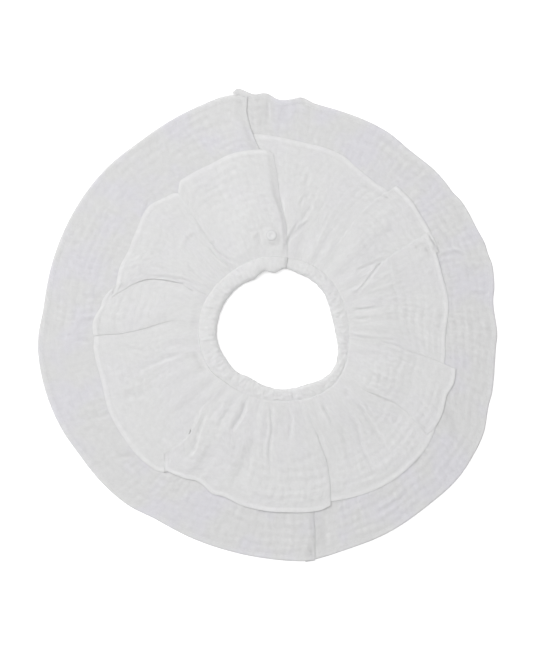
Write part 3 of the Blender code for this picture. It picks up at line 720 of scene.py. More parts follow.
class Tier:
    """One gathered strip: its hem, folds, end edges, heights and the rings of its shell."""

    def __init__(self, hem, folds, end_columns, rows, edge, waves, slope, base, room):
        self.hem = hem
        self.folds = folds
        self.end_columns = end_columns
        self.seam_share = rows[0][1]
        self.edge = edge
        self.waves = waves
        self.slope = slope
        self.base = base
        self.room = room
        shares = [np.linspace(start, end, count + 1)[:-1] for start, end, count in rows]
        last = edge / (hem[0][0][1] - seam_radius(hem[0][0][0]))
        self.fractions = np.append(np.concatenate(shares), (1.0 - last, 1.0))

    def ring_radius(self, fraction, angle, hem_radius):
        """The first rings are inside the casing, the next ones go from its seam to the hem."""
        seam = seam_radius(angle)
        if fraction < self.seam_share:
            grip = 1.0 - fraction / self.seam_share
            return seam - grip * BAND_GRIP * (seam - hole_radius(angle))
        way = (fraction - self.seam_share) / (1 - self.seam_share)
        return seam + way * (hem_radius - seam)

    def end_angle(self, side, radius):
        return read_row(END_EDGES, radius, self.end_columns[side])

    def fold_line(self, index, fraction):
        """Points (angle, radius, height, crinkle share) across one fold on one ring, with the
        length of its hidden layer. The first and last are also the ends of the panels beside."""
        fold = self.folds[index]
        radius_before = self.ring_radius(fraction, fold[0], self.hem[index][-1][1])
        radius_after = self.ring_radius(fraction, fold[0], self.hem[index + 1][0][1])
        middle = (radius_before + radius_after) / 2
        hem = (self.hem[index][-1][1] + self.hem[index + 1][0][1]) / 2
        turn, hidden = fold_state(fold, middle, hem)
        path = fold_path(turn, hidden, round(fold[4] / HEM_STEP))
        if fold[3] == "after":
            path = path[::-1] * (-1, 1, -1) + (0, 0, 1)
        along, height, way = path.T
        radius = radius_before + (radius_after - radius_before) * way
        wander = layered(middle, fold[0], FOLD_WANDER)
        angle = fold_angle(fold, middle, hem) + np.degrees((along + wander) / radius)
        return np.stack([angle, radius, height, 0.0 * height], axis=1), hidden

    def panel_edge(self, panel, side, fraction):
        """Where a panel starts (side 0) or ends (side 1) on a ring: its angle, its height there,
        and the length of the hidden layer beside it."""
        index = panel - 1 + side
        if 0 <= index < len(self.folds):
            points, hidden = self.fold_line(index, fraction)
            angle, _, height, _ = points[0] if side else points[-1]
            return angle, height, hidden
        at, hem_radius = self.hem[panel][-1 if side else 0]
        return self.end_angle(side, self.ring_radius(fraction, at, hem_radius)), 0.0, 0.0

    def panel_points(self, panel, fraction):
        """Points (angle, radius, height, crinkle share) of one panel on one ring, without its
        fold points. The crinkle is flat on what a fold covers, and flatter on top of the fold."""
        first, low, low_cover = self.panel_edge(panel, 0, fraction)
        last, high, high_cover = self.panel_edge(panel, 1, fraction)
        rows = self.hem[panel]
        hem_first, hem_last = rows[0][0], rows[-1][0]
        length = math.radians(hem_last - hem_first) * rows[0][1]
        share = np.linspace(0.0, 1.0, max(4, round(length / HEM_STEP)) + 1)
        if panel == 0:
            share = np.insert(share, 1, self.edge / length)
        if panel == len(self.folds):
            share = np.insert(share, -1, 1.0 - self.edge / length)
        hem_angle = hem_first + share * (hem_last - hem_first)
        angle = first + share * (last - first)
        hem_radius = read_row(rows, hem_angle, 1)
        radius = self.ring_radius(fraction, angle, hem_radius)
        arc = math.radians(last - first) * radius
        from_first = share * arc - low_cover - FOLD_LEAD
        to_last = (1 - share) * arc - high_cover - FOLD_LEAD
        run = np.clip(from_first + to_last, 1.0, self.slope)
        share_up = 1.0 - to_last / run if high > low else from_first / run
        height = low + (high - low) * smooth(share_up)
        free, crinkled = np.ones_like(share), np.ones_like(share)
        for side, way, from_line in ((0, from_first, share * arc), (1, to_last, (1 - share) * arc)):
            index = panel - 1 + side
            if 0 <= index < len(self.folds):
                clear = smooth(way / FREE_RUN + 0.5)
                crinkled = crinkled * smooth(from_line / FOLD_CALM)
                free = free * clear
                on_top = (self.folds[index][3] == "before") == (side == 1)
                least = TOP_CALM if on_top else 0.0
                crinkled = crinkled * (least + (1.0 - least) * clear)
        wave = GATHER_LIFT + GATHER_SHARE * uneven_wave(hem_angle, self.waves)
        wave = wave * (1.0 - HEM_CALM * smooth(1.0 - (hem_radius - radius) / PRESS_RUN))
        near_fold = 1.0 - smooth((radius - FREE_FROM) / FREE_FADE) * (1.0 - free)
        height = height + wave * self.room(angle, radius) * near_fold
        return np.stack([angle, radius, height, crinkled], axis=1)

    def ring(self, fraction):
        """Points of one ring in the shell's middle, and the share of the crinkle at each. A fold's
        points are raised as much as the ends of the panels beside it are by their gathers."""
        panels = [self.panel_points(panel, fraction) for panel in range(len(self.hem))]
        parts = panels[:1]
        for index, (before, after) in enumerate(zip(panels, panels[1:])):
            fold = self.fold_line(index, fraction)[0]
            raised = (before[-1, 2] - fold[0, 2], after[0, 2] - fold[-1, 2])
            fold[:, 2] += np.linspace(*raised, len(fold))
            parts += [fold[1:-1], after]
        points = np.concatenate(parts)
        angle, radius, height, crinkled = points.T
        return place(angle, radius, height + self.base(angle, radius) + WALL / 2), crinkled


def place(angle, radius, height):
    """A point in millimetres from the part's origin."""
    turn = np.radians(angle)
    return np.stack(
        np.broadcast_arrays(NECK_X + radius * np.cos(turn), NECK_Y + radius * np.sin(turn), height),
        axis=-1,
    )


def about_neck(points):
    """Angle and distance of each point from the neck centre."""
    right, back = points[..., 0] - NECK_X, points[..., 1] - NECK_Y
    return np.degrees(np.arctan2(back, right)), np.hypot(right, back)


def settled(points):
    """Points with the back overlap at the neck pressed flatter."""
    turn, from_neck = about_neck(points)
    start, run = NECK_PRESS_ANGLES
    share = 1.0 - smooth((np.abs(turn - 90.0) - start) / run)
    share = share * smooth((NECK_PRESS_RADIUS[0] - from_neck) / NECK_PRESS_RADIUS[1])
    result = points.copy()
    result[..., 2] *= 1.0 - NECK_PRESS * share
    return result


def snap_rise(points):
    """How far the right part is raised beside the snap, at each point."""
    share = 1.0
    for place_of_point, table in zip(about_neck(points), (SNAP_RISE_ANGLES, SNAP_RISE_RADII)):
        (start, start_run), (end, end_run) = table
        share = share * smooth((place_of_point - start) / start_run)
        share = share * (1.0 - smooth((place_of_point - end) / end_run))
    return SNAP_RISE * share


def upper_reach(points):
    """Radius that the upper tier covers at each point's angle."""
    rows = [row for panel in UPPER_HEM for row in panel]
    turn = about_neck(points)[0] % 360.0
    turn = np.where(turn < rows[0][0], turn + 360.0, turn)
    return np.interp(turn, [row[0] for row in rows], [row[1] for row in rows])


def rough(first, second, size, seed):
    """Smooth noise from -1 to 1 over two coordinates, with features of about this size."""
    across, down = first / size[0], second / size[1]
    column, row = np.floor(across), np.floor(down)
    across, down = across - column, down - row

    def corner(right, below):
        whole = np.sin((column + right) * 127.1 + (row + below) * 311.7 + seed * 74.7) * 43758.5453
        turn = whole % 1.0 * math.tau
        return np.cos(turn) * (across - right) + np.sin(turn) * (down - below)

    ease = across**3 * (across * (across * 6.0 - 15.0) + 10.0)
    top = corner(0, 0) + ease * (corner(1, 0) - corner(0, 0))
    bottom = corner(0, 1) + ease * (corner(1, 1) - corner(0, 1))
    ease = down**3 * (down * (down * 6.0 - 15.0) + 10.0)
    return 1.5 * (top + ease * (bottom - top))


def layered(first, second, noises):
    """Sum of a table's noises over two coordinates."""
    return sum(height * rough(first, second, size, seed) for height, size, seed in noises)


def lengths_along(points, axis):
    """Running length along an axis of a grid of points, from 0."""
    step = np.linalg.norm(np.diff(points, axis=axis), axis=2)
    start = np.zeros_like(np.take(step, [0], axis=axis))
    return np.concatenate([start, np.cumsum(step, axis=axis)], axis=axis)


def outward(points):
    """Unit normals of a grid of points, up where the cloth lies flat."""
    along = np.gradient(points, axis=1)
    down = np.gradient(points, axis=0)
    normal = np.cross(down, along)
    return normal / np.maximum(np.linalg.norm(normal, axis=2, keepdims=True), TINY)


def crinkle(along, from_hem):
    """Height of the puffed cells between the gauze's tacked rows, as a share of CRINKLE."""
    bands = from_hem / BAND_SPACING + layered(along, from_hem, BAND_DRIFT)
    cells = along / CELL_SPACING + layered(along, from_hem, CELL_DRIFT)
    bands, cells = (np.abs(np.sin(math.pi * wave)) ** PUFF_ROUNDNESS for wave in (bands, cells))
    strength = PUFF_MEAN + layered(along, from_hem, PUFF_PATCHES)
    puffs = BAND_SHARE * bands + CELL_SHARE * cells - PUFF_LEVEL
    puffs = puffs + layered(along, from_hem, FINE_RUMPLE) + layered(along, from_hem, BROAD_RUMPLE)
    return np.clip(strength, PUFF_LEAST, PUFF_MOST) * puffs


def crease_depth(points, creases):
    """Height that a table of creases adds at each point of a grid."""
    added = np.zeros(points.shape[:2])
    for depth, width, side, *places in creases:
        line = [place(angle, radius, 0.0)[:2] for angle, radius in places]
        runs = [np.linalg.norm(b - a) for a, b in zip(line, line[1:])]
        total, done = sum(runs), 0.0
        best = np.full(points.shape[:2], math.inf)
        signed, way = np.zeros_like(best), np.zeros_like(best)
        for start, end, run in zip(line, line[1:], runs):
            unit = (end - start) / run
            offset = points[..., :2] - start
            along = np.clip(offset @ unit, 0.0, run)
            gap = offset - along[..., None] * unit
            distance = np.linalg.norm(gap, axis=2)
            nearer = distance < best
            best = np.where(nearer, distance, best)
            cross = unit[0] * gap[..., 1] - unit[1] * gap[..., 0]
            signed = np.where(nearer, cross, signed)
            way = np.where(nearer, (done + along) / total, way)
            done += run
        taper = smooth(way / CREASE_TAPER) * smooth((1.0 - way) / CREASE_TAPER)
        outwards = math.copysign(1.0, places[-1][1] - places[0][1])
        trough = -np.exp(-((best / width) ** 2))
        if side:
            beside = (signed * side * outwards - RIDGE_OUT * width) / width
            ridge = RIDGE_HEIGHT * np.exp(-(beside**2))
        else:
            beside = (best - BANK_OUT * width) / width
            ridge = BANK_HEIGHT * np.exp(-(beside**2))
        reach = smooth(CREASE_REACH - best / width)
        added += depth * taper * (trough + ridge) * reach
    return added


def sheet_grid(name, points, cloth_map, marks, thickness):
    """A shell of cloth on a grid of points, with its cloth map and its marks as attributes."""
    rows, columns = points.shape[:2]
    shape = bmesh.new()
    bmesh.ops.create_grid(shape, x_segments=columns - 1, y_segments=rows - 1, size=1.0)
    lay_out = shape.loops.layers.uv.new("cloth")
    for corner in shape.verts:
        column = round((corner.co.x + 1) / 2 * (columns - 1))
        row = rows - 1 - round((corner.co.y + 1) / 2 * (rows - 1))
        corner.index = row * columns + column
    for face in shape.faces:
        for loop in face.loops:
            loop[lay_out].uv = cloth_map.reshape(-1, 2)[loop.vert.index]
    flat = points.reshape(-1, 3) * METRE
    for corner in shape.verts:
        corner.co = flat[corner.index]
    order = [corner.index for corner in shape.verts]
    mesh = bpy.data.meshes.new(name)
    shape.to_mesh(mesh)
    shape.free()
    mesh.shade_smooth()
    for mark, values in marks.items():
        attribute = mesh.attributes.new(mark, "FLOAT", "POINT")
        attribute.data.foreach_set("value", np.ravel(values)[order].astype(np.float32))
    piece = bpy.data.objects.new(name, mesh)
    bpy.context.scene.collection.objects.link(piece)
    most = float(np.max(thickness))
    group = piece.vertex_groups.new(name="thickness")
    for index, value in enumerate(np.ravel(thickness)[order]):
        group.add([index], float(value) / most, "REPLACE")
    wall = piece.modifiers.new("wall", "SOLIDIFY")
    wall.thickness = most * METRE
    wall.offset = 0.0
    wall.vertex_group = "thickness"
    wall.use_even_offset = False
    return piece


def lay_down(middle, from_left, on_left, end_rest):
    """Brings a grid's left end down to what is under it, and raises its right end beside the
    snap. Gives each point's share in the left end."""
    from_neck = about_neck(middle)[1]
    further = smooth((from_neck - END_RUN_RADIUS[0]) / END_RUN_RADIUS[1])
    end_run = END_RUN_NECK + (END_RUN - END_RUN_NECK) * further
    at_end = smooth(1.0 - from_left / end_run)
    at_end = at_end * smooth((from_neck - END_FROM[0]) / END_FROM[1])
    inside, outside = end_rest
    rise = snap_rise(middle)
    rest = rise + outside
    rest = rest + (inside - outside) * smooth((RIGHT_HEM - from_neck) / RIGHT_HEM_RUN)
    middle[..., 2] += np.where(on_left, 0.0, rise)
    middle[..., 2] += at_end * np.minimum(rest - middle[..., 2], 0.0)
    held = 1.0 - smooth((from_neck - TIER_DROOP_RADIUS[0]) / TIER_DROOP_RADIUS[1])
    middle[..., 2] -= TIER_DROOP * held * (1.0 - smooth(from_left / CASING_DROOP_RUN))
    return at_end


def shading(points, on_left, shades):
    """Lighter and darker areas of a table, at each point of a grid: mostly painted light and shade,
    and cloth lighter where more layers lie under it.
    """
    turn, from_neck = about_neck(points)
    turn = turn % 360.0
    running = np.where(~on_left & (turn < 180.0), turn + 360.0, turn)
    return sum(
        amount * np.exp(-(((running - at) / wide) ** 2) - ((from_neck - out) / long) ** 2)
        for at, out, wide, long, amount in shades
    )


def hem_sewing(points, from_hem):
    """Line of a hem's sewing on the cloth, and the normals along it."""
    normal = outward(points)
    rows = np.arange(len(points))[::-1]
    sewing, facing = [], []
    for column in range(points.shape[1]):
        row = np.interp(HEM_WIDTH - HEM_SEWN_IN, from_hem[::-1, column], rows)
        low, share = int(row), row - int(row)
        high = min(low + 1, len(rows) - 1)
        sewing.append(points[low, column] * (1 - share) + points[high, column] * share)
        facing.append(normal[low, column])
    sewing, facing = np.array(sewing), np.array(facing)
    return sewing + facing * (SHELL + HEM_EXTRA) / 2, facing


def make_tier(name, tier, creases, shades, covered, press, end_rest, pad, material):
    """A tier's shell, and the line of its hem's sewing with the normals along it. The crinkle is
    flatter where the tier is covered, and near the hem where the cloth is pressed down."""
    rings = [tier.ring(fraction) for fraction in tier.fractions]
    middle = settled(np.stack([points for points, _ in rings]))
    crinkled = np.stack([share for _, share in rings])
    hem_run = lengths_along(middle[-1:], 1)[0]
    down = lengths_along(middle, 0)
    from_hem = down[-1] - down
    along = np.broadcast_to(hem_run, from_hem.shape)
    on_left = along < hem_run[-1] / 2
    edge = np.minimum(from_hem, np.minimum(along, hem_run[-1] - along))
    column_step = np.linalg.norm(np.gradient(middle, axis=1), axis=2)
    closeness = np.clip(column_step / np.maximum(column_step[-1], TINY), 0.0, 1.0)
    spread = smooth((closeness - CLOSE_FROM) / CLOSE_RUN)

    from_neck = about_neck(middle)[1]
    beneath = smooth((upper_reach(middle) + COVERED_REACH - from_neck) / COVERED_RUN)
    pad_x, pad_y, pad_level = pad
    from_pad = np.hypot(middle[..., 0] - pad_x, middle[..., 1] - pad_y)
    on_pad = smooth((PAD_REACH - from_pad) / PAD_RUN)
    pressed = press * smooth(1.0 - from_hem / PRESS_RUN)
    at_end = lay_down(middle, along * closeness, on_left, end_rest)
    if not covered:
        middle[..., 2] += np.where(on_left, on_pad * (pad_level - middle[..., 2]), 0.0)

    turned = 1.0 - smooth((edge - HEM_WIDTH + HEM_STEP_RUN) / HEM_STEP_RUN)
    groove = np.exp(-(((edge - HEM_WIDTH) / HEM_GROOVE_WIDTH) ** 2))
    phase = 2 * math.pi * along / HEM_PUCKER_SPACING + layered(along, from_hem, HEM_PUCKER_DRIFT)
    pucker = HEM_PUCKER * np.sin(phase)
    puffs = crinkle(along, from_hem)
    to_right = middle[..., 0] / np.hypot(middle[..., 0], middle[..., 1])
    lean = LEAN + LEAN_RIGHT * smooth((to_right - LEAN_FROM) / LEAN_RUN)
    lean = lean - LEAN_LEFT * smooth(-to_right)
    shown = crinkled * (1.0 - COVERED_CALM * covered * beneath)
    shown = shown * (1.0 - PAD_CALM * (1.0 - covered) * on_pad)
    flatter = shown * spread * lean * (1.0 - HEM_FLATTER * turned)
    flatter = flatter * (1.0 - PRESSED_FLATTER * np.minimum(pressed + at_end, 1.0))
    height = CRINKLE * puffs * flatter
    height = height + HEM_EXTRA / 3 * turned - HEM_GROOVE * groove
    height = height + pucker * smooth(2 - edge / HEM_PUCKER_REACH)
    dents = crease_depth(middle, creases)
    points = middle + outward(middle) * height[..., None]
    points[..., 2] += dents
    points[..., 2] = np.maximum(points[..., 2] - pressed * (1.0 - at_end), SHELL / 2)

    rounding = EDGE_THICKNESS + (1.0 - EDGE_THICKNESS) * smooth(edge / EDGE_ROUNDING)
    thickness = (SHELL + HEM_EXTRA * turned) * rounding
    cloth_map = np.stack([along, from_hem], axis=2) * METRE
    # The puff mark is painted shade: darker in the crinkle's hollows and the creases' troughs,
    # lighter on puffs and ridges, with the table's painted light and shade added
    puff = puffs * spread * lean + dents + shading(middle, on_left, shades)
    piece = sheet_grid(name, points, cloth_map, {"hem": turned, "puff": puff}, thickness)
    piece.data.materials.append(material)
    return (piece, *hem_sewing(points, from_hem))


def stitches(name, line, facing, material):
    """Sewn stitches on a line of points, each an oval of thread that dips at its ends."""
    length, gap = STITCH, STITCH_GAP
    run = lengths_along(line[None], 1)[0]
    shape = bmesh.new()
    single = bpy.data.meshes.new(name + "_single")
    count = int(run[-1] / (length + gap))
    for step in range(count):
        middle = (step + 0.5) * (length + gap)
        at = [np.interp(middle + side * length / 2, run, line[:, axis])
              for side in (-1, 1) for axis in range(3)]
        start, end = Vector(at[:3]), Vector(at[3:])
        up = Vector([np.interp(middle, run, facing[:, axis]) for axis in range(3)]).normalized()
        ahead = (end - start).normalized()
        across = up.cross(ahead).normalized()
        turn = Matrix((ahead, across, ahead.cross(across))).transposed().to_4x4()
        size = Matrix.Diagonal((length / 2, THREAD / 2, THREAD / 2, 1.0))
        centre = Matrix.Translation((start + end) / 2 + up * THREAD * STITCH_OUT)
        poles = Matrix.Rotation(math.pi / 2, 4, "Y")
        oval = bmesh.new()
        bmesh.ops.create_uvsphere(
            oval, u_segments=STITCH_STEPS[0], v_segments=STITCH_STEPS[1], radius=1.0,
            matrix=Matrix.Scale(METRE, 4) @ centre @ turn @ size @ poles,
        )
        oval.to_mesh(single)
        oval.free()
        shape.from_mesh(single)
    bpy.data.meshes.remove(single)
    return finished(name, shape, material)


def finished(name, shape, material):
    """An object from a bmesh, smooth, in the scene, with its material."""
    mesh = bpy.data.meshes.new(name)
    shape.to_mesh(mesh)
    shape.free()
    mesh.shade_smooth()
    mesh.materials.append(material)
    piece = bpy.data.objects.new(name, mesh)
    bpy.context.scene.collection.objects.link(piece)
    return piece


def make_casing(material):
    """The casing's shell, drawn up by its elastic, and the line of its top sewing."""
    first, last = BAND_ENDS
    columns = round((last - first) / 360 * PUCKERS * PUCKER_STEPS) + 1
    angle = np.linspace(first, last, columns)[None, :]
    along = np.radians(angle) * CASING_RADIUS
    order = tuple((index,) + row for index, row in enumerate(BAND_SECTION))
    section = np.linspace(0.0, len(BAND_SECTION) - 1.0, SECTION_POINTS)
    across, up, inwards, upwards, crown = (
        read_row(order, section, column)[:, None] for column in range(1, 6)
    )
    hole, seam = hole_radius(angle), seam_radius(angle)
    full = fullness(angle)
    thick = 4 * WALL + 3 * SEAM_GAP + 2 * BAND_WAVE * full
    level = section[:, None] + 0 * angle
    phase = angle / 360 * PUCKERS + layered(along, level, PUCKER_SWAY)
    puffs = np.abs(np.sin(math.pi * phase)) ** PUCKER_ROUNDNESS - PUCKER_LEVEL
    strength = PUCKER_MEAN + layered(along, level, PUCKER_PATCHES)
    strength = np.clip(strength, PUCKER_LEAST, PUCKER_MOST)
    held = np.maximum(full, np.where(angle < OVERLAP_END, END_PUCKERS, 0.0))
    puff = (PUCKER_RISE * puffs * strength + LUMP_RISE * layered(along, level, LUMPS)) * held
    sewn = np.exp(-(((section - TOP_SEWING) / TOP_GROOVE_WIDTH) ** 2))[:, None] * TOP_GROOVE
    radius = hole + across * (seam - hole) - inwards * puff
    from_end = np.minimum(along - along[:, :1], along[:, -1:] - along)
    closing = END_CLOSED + (1.0 - END_CLOSED) * smooth(from_end / END_CLOSED_RUN)
    height = 0.5 * thick + closing * (up - 0.5) * thick
    height = neck_lift(angle) + height + upwards * puff + crown * BAND_CROWN * full - sewn
    (start, start_run), (end, end_run) = CASING_RISE_ANGLES
    right_turn = angle - 360.0
    raised = smooth((right_turn - start) / start_run) * (1.0 - smooth((right_turn - end) / end_run))
    drooped = 1.0 - smooth((along - along[:, :1]) / CASING_DROOP_RUN)
    height = height + CASING_RISE * raised - CASING_DROOP * drooped
    points = settled(place(angle + 0 * level, radius, height))
    points[..., 2] = np.maximum(points[..., 2], SHELL)
    run = lengths_along(points, 1)[-1:] + 0 * level
    cloth_map = np.stack([run, lengths_along(points, 0)], axis=2) * METRE
    flat = np.full(points.shape[:2], SHELL)
    # The casing's puff mark is painted shade: darker in the hollows of its puckers, lighter on
    # their crests
    marks = {"hem": CASING_SOLID + 0 * level, "puff": puffs * CASING_PAINTED_SHADE}
    piece = sheet_grid("neckband_casing", points[::-1], cloth_map[::-1], marks, flat)
    piece.modifiers["wall"].offset = -1.0
    piece.data.materials.append(material)
    sewing = np.argmin(np.abs(section - TOP_SEWING))
    return piece, points[sewing], outward(points[::-1])[::-1][sewing]


def make_snap_cap(material):
    """The cap of the back snap, turned, with a raised ring round its dimple."""
    low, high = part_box("snap_cap")
    rim = (high.x - low.x) / 2
    x, y = (low.x + high.x) / 2, (low.y + high.y) / 2
    shape = bmesh.new()
    points = [
        shape.verts.new((x + share * rim, y, low.z + up * METRE)) for share, up in CAP_PROFILE
    ]
    line = [shape.edges.new(pair) for pair in zip(points, points[1:])]
    bmesh.ops.spin(
        shape, geom=points + line, cent=(x, y, low.z),
        axis=(0, 0, 1), angle=math.tau, steps=CAP_STEPS, use_merge=True,
    )
    bmesh.ops.remove_doubles(shape, verts=shape.verts, dist=0.00001)
    bmesh.ops.recalc_face_normals(shape, faces=shape.faces)
    return finished("snap_cap_turned", shape, material)


class Wire:
    """A socket of a finish, with arithmetic that adds Math nodes."""

    def __init__(self, finish, socket):
        self.finish = finish
        self.socket = socket

    def math(self, operation, *values):
        return self.finish.node("ShaderNodeMath", {"operation": operation}, dict(enumerate(values)))

    def __add__(self, other):
        return self.math("ADD", self, other)

    def __sub__(self, other):
        return self.math("SUBTRACT", self, other)

    def __rsub__(self, other):
        return self.math("SUBTRACT", other, self)

    def __mul__(self, other):
        return self.math("MULTIPLY", self, other)

    __radd__ = __add__
    __rmul__ = __mul__

    def band(self, low, high):
        """0 below low and 1 above high."""
        inputs = {"Value": self, "From Min": low, "From Max": high}
        return self.finish.node("ShaderNodeMapRange", {}, inputs)

    def sine(self):
        return self.math("SINE", self)

    def size(self):
        return self.math("ABSOLUTE", self)


class Finish:
    """A material that is made of nodes before its shader."""

    def __init__(self, name, settings):
        self.material = bpy.data.materials.new(name)
        self.material.use_nodes = True
        self.tree = self.material.node_tree
        self.shader = self.tree.nodes["Principled BSDF"]
        for key, value in settings.items():
            self.shader.inputs[key].default_value = value

    def node(self, kind, settings, inputs, output=0):
        """A node with its settings and the values or links of its sockets; gives one output."""
        made = self.tree.nodes.new(kind)
        for key, value in settings.items():
            setattr(made, key, value)
        for key, value in inputs.items():
            self.feed(made.inputs[key], value)
        return Wire(self, made.outputs[output])

    def feed(self, socket, value):
        if isinstance(value, Wire):
            self.tree.links.new(value.socket, socket)
        else:
            socket.default_value = value

    def noise(self, spot, size, detail=2.0):
        """Noise about 0.5 with features of this size in metres."""
        return self.node(
            "ShaderNodeTexNoise", {}, {"Vector": spot, "Scale": 1 / size, "Detail": detail}
        )

    def stretched(self, spot, sizes):
        """Coordinates divided by sizes in metres, for noise that is longer one way."""
        return self.node(
            "ShaderNodeVectorMath", {"operation": "DIVIDE"}, {0: spot, 1: (*sizes, 1.0)}
        )

    def blend(self, share, first, second):
        """A colour between two."""
        return self.node(
            "ShaderNodeMix", {"data_type": "RGBA"}, {"Factor": share, 6: first, 7: second}, 2
        )

    def tint(self, colour, lightness):
        """A colour made lighter or darker all over by a value about 1."""
        inputs = {0: colour, "Scale": lightness}
        return self.node("ShaderNodeVectorMath", {"operation": "SCALE"}, inputs)

    def raise_surface(self, height, distance, strength):
        inputs = {"Height": height, "Distance": distance, "Strength": strength}
        self.feed(self.shader.inputs["Normal"], self.node("ShaderNodeBump", {}, inputs))


def gauze(name, neutral, cool):
    """White double gauze: an open plain weave of uneven threads, a little more solid at hems."""
    cloth = Finish(name, GAUZE_SHADER)
    spot = cloth.node("ShaderNodeUVMap", {"uv_map": "cloth"}, {})
    along = cloth.node("ShaderNodeSeparateXYZ", {}, {0: spot}, 0)
    across = cloth.node("ShaderNodeSeparateXYZ", {}, {0: spot}, 1)
    hem = cloth.node("ShaderNodeAttribute", {"attribute_name": "hem"}, {}, 2)
    pitch = math.pi / (THREAD_PITCH * METRE)
    warp = (along * pitch).sine().size()
    weft = (across * pitch).sine().size()
    slub_warp = cloth.noise(cloth.stretched(spot, (SLUB_ACROSS, SLUB_ALONG)), 1.0)
    slub_weft = cloth.noise(cloth.stretched(spot, (SLUB_ALONG, SLUB_ACROSS)), 1.0)
    threads = warp * slub_warp + weft * slub_weft
    rumple = cloth.noise(cloth.stretched(spot, RUMPLE_SIZES), 1.0, 3.0)
    patches = cloth.noise(spot, PATCH_SIZE, 3.0).band(*PATCH_BAND)
    mottle = cloth.noise(spot, MOTTLE_SIZE, 4.0)
    grain = cloth.noise(spot, GRAIN_SIZE, 1.0)
    # Painted shade from the puff mark: the colour is darker in the hollows of crinkle, creases and
    # puckers and lighter on their puffs
    puff = cloth.node("ShaderNodeAttribute", {"attribute_name": "puff"}, {}, 2)
    colour = cloth.blend(patches, neutral, cool)
    light = EVEN_LIGHT + THREAD_LIGHTER * threads + HEM_LIGHTER * hem
    light = light + MOTTLE_LIGHTER * (mottle - 0.5) + GRAIN_LIGHTER * (grain - 0.5)
    light = light + PAINTED_SHADE_GAIN * puff
    cloth.feed(cloth.shader.inputs["Base Color"], cloth.tint(colour, light))
    cloth.feed(cloth.shader.inputs["Roughness"], GAUZE_ROUGHNESS - THREAD_SMOOTHER * threads)
    cloth.raise_surface(WEAVE_SHARE * threads + rumple, WEAVE_DEPTH, WEAVE_STRENGTH)
    return cloth.material


def thread_finish():
    """Twisted white cotton thread."""
    thread = Finish("white_thread", THREAD_SHADER)
    spot = thread.node("ShaderNodeTexCoord", {}, {}, 3)
    twist = thread.node(
        "ShaderNodeTexWave", {"bands_direction": "DIAGONAL"},
        {"Vector": spot, "Scale": TWIST_SCALE}, 1,
    )
    thread.feed(thread.shader.inputs["Base Color"], thread.blend(twist, THREAD_DARK, THREAD_LIGHT))
    thread.raise_surface(twist, TWIST_DEPTH, TWIST_STRENGTH)
    return thread.material


def plastic_finish():
    """Satin white moulded plastic with a faint flow in its surface."""
    plastic = Finish("white_snap_plastic_satin", PLASTIC_SHADER)
    spot = plastic.node("ShaderNodeTexCoord", {}, {}, 3)
    flow = plastic.noise(spot, FLOW_SIZE)
    colour = plastic.blend(flow, PLASTIC_DARK, PLASTIC_LIGHT)
    plastic.feed(plastic.shader.inputs["Base Color"], colour)
    plastic.feed(plastic.shader.inputs["Roughness"], PLASTIC_ROUGHNESS + FLOW_ROUGHER * flow)
    plastic.raise_surface(flow, FLOW_DEPTH, FLOW_STRENGTH)
    return plastic.material


def floor_finish():
    floor = Finish("pale_floor", FLOOR_SHADER)
    spot = floor.node("ShaderNodeTexCoord", {}, {}, 3)
    grain = floor.noise(spot, FLOOR_GRAIN)
    floor.feed(floor.shader.inputs["Base Color"], floor.blend(grain, FLOOR_DARK, FLOOR_LIGHT))
    return floor.material


def make_camera():
    """Straight above the collar, through a long lens."""
    camera = bpy.data.cameras.new("camera")
    camera.lens = CAMERA_SENSOR * CAMERA_HEIGHT / (FRAME_HEIGHT * PIXEL)
    camera.sensor_width = CAMERA_SENSOR
    holder = bpy.data.objects.new("camera", camera)
    holder.location = (VIEW_X * METRE, VIEW_Y * METRE, CAMERA_HEIGHT * METRE)
    bpy.context.scene.collection.objects.link(holder)
    bpy.context.scene.camera = holder


def make_light():
    """Soft studio light from the upper left, and an even pale surround."""
    world = bpy.data.worlds.new("surround")
    world.use_nodes = True
    surround = world.node_tree.nodes["Background"]
    surround.inputs["Color"].default_value = (1.0, 1.0, 1.0, 1.0)
    surround.inputs["Strength"].default_value = SURROUND_LIGHT
    bpy.context.scene.world = world
    for name, place_of_panel, size, power in PANELS:
        panel = bpy.data.lights.new(name, "AREA")
        panel.shape = "DISK"
        panel.size = size
        panel.energy = power
        holder = bpy.data.objects.new(name, panel)
        holder.location = place_of_panel
        holder.rotation_euler = (-Vector(place_of_panel)).to_track_quat("-Z", "Y").to_euler()
        bpy.context.scene.collection.objects.link(holder)
    bpy.context.scene.view_settings.view_transform = "Standard"


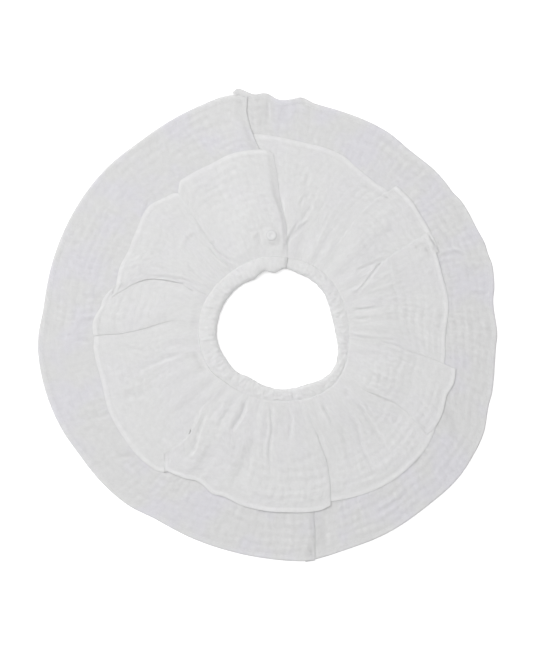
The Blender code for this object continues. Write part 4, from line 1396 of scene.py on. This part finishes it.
def make_floor():
    shape = bmesh.new()
    bmesh.ops.create_grid(shape, x_segments=1, y_segments=1, size=FLOOR_REACH * METRE)
    bmesh.ops.translate(shape, vec=(0.0, 0.0, -FLOOR_DROP * METRE), verts=shape.verts)
    finished("floor", shape, floor_finish())


def main():
    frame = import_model()
    make_camera()
    make_light()
    make_floor()

    lower_cloth = gauze("lower_gauze", LOWER_NEUTRAL, LOWER_COOL)
    upper_cloth = gauze("upper_gauze", UPPER_NEUTRAL, UPPER_COOL)
    thread = thread_finish()
    plastic = plastic_finish()

    lower = Tier(
        (tuple(row for row in LOWER_HEM if row[0] <= LOWER_FOLDS[0][0]),
         tuple(row for row in LOWER_HEM if row[0] >= LOWER_FOLDS[0][0])),
        LOWER_FOLDS, LOWER_COLUMNS, LOWER_ROWS, LOWER_EDGE, LOWER_WAVES, LOWER_SLOPE, lower_base,
        lower_room,
    )
    upper = Tier(
        UPPER_HEM, UPPER_FOLDS, UPPER_COLUMNS, UPPER_ROWS, UPPER_EDGE, UPPER_WAVES, UPPER_SLOPE,
        upper_base, upper_room,
    )
    cap_low, cap_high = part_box("snap_cap")
    pad = tuple((cap_low + cap_high).xy / 2 / METRE) + (cap_low.z / METRE + PAD_SINK,)
    low_cloth, low_line, low_facing = make_tier(
        "lower_ruffle_cloth", lower, LOWER_CREASES, LOWER_TONE_AND_PAINTED_SHADE, 1.0, 0.0, LOWER_END, pad,
        lower_cloth,
    )
    top_cloth, top_line, top_facing = make_tier(
        "upper_ruffle_cloth", upper, UPPER_CREASES, UPPER_PAINTED_LIGHT, 0.0, PRESS, UPPER_END, pad,
        upper_cloth,
    )
    casing, casing_line, casing_facing = make_casing(upper_cloth)
    cap = make_snap_cap(plastic)
    low_sewing = stitches("lower_hem_stitches", low_line, low_facing, thread)
    top_sewing = stitches("upper_hem_stitches", top_line, top_facing, thread)
    casing_sewing = stitches("casing_stitches", casing_line, casing_facing, thread)

    for piece in (low_cloth, top_cloth, casing, cap, low_sewing, top_sewing, casing_sewing):
        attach(piece, "root")
    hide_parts("lower_ruffle")
    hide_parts("upper_ruffle")
    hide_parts("neckband")
    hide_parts("snap_cap")
    for node in ("snap_socket", "snap_stud"):
        frame["nodes"][node].data.materials.clear()
        frame["nodes"][node].data.materials.append(plastic)


main()
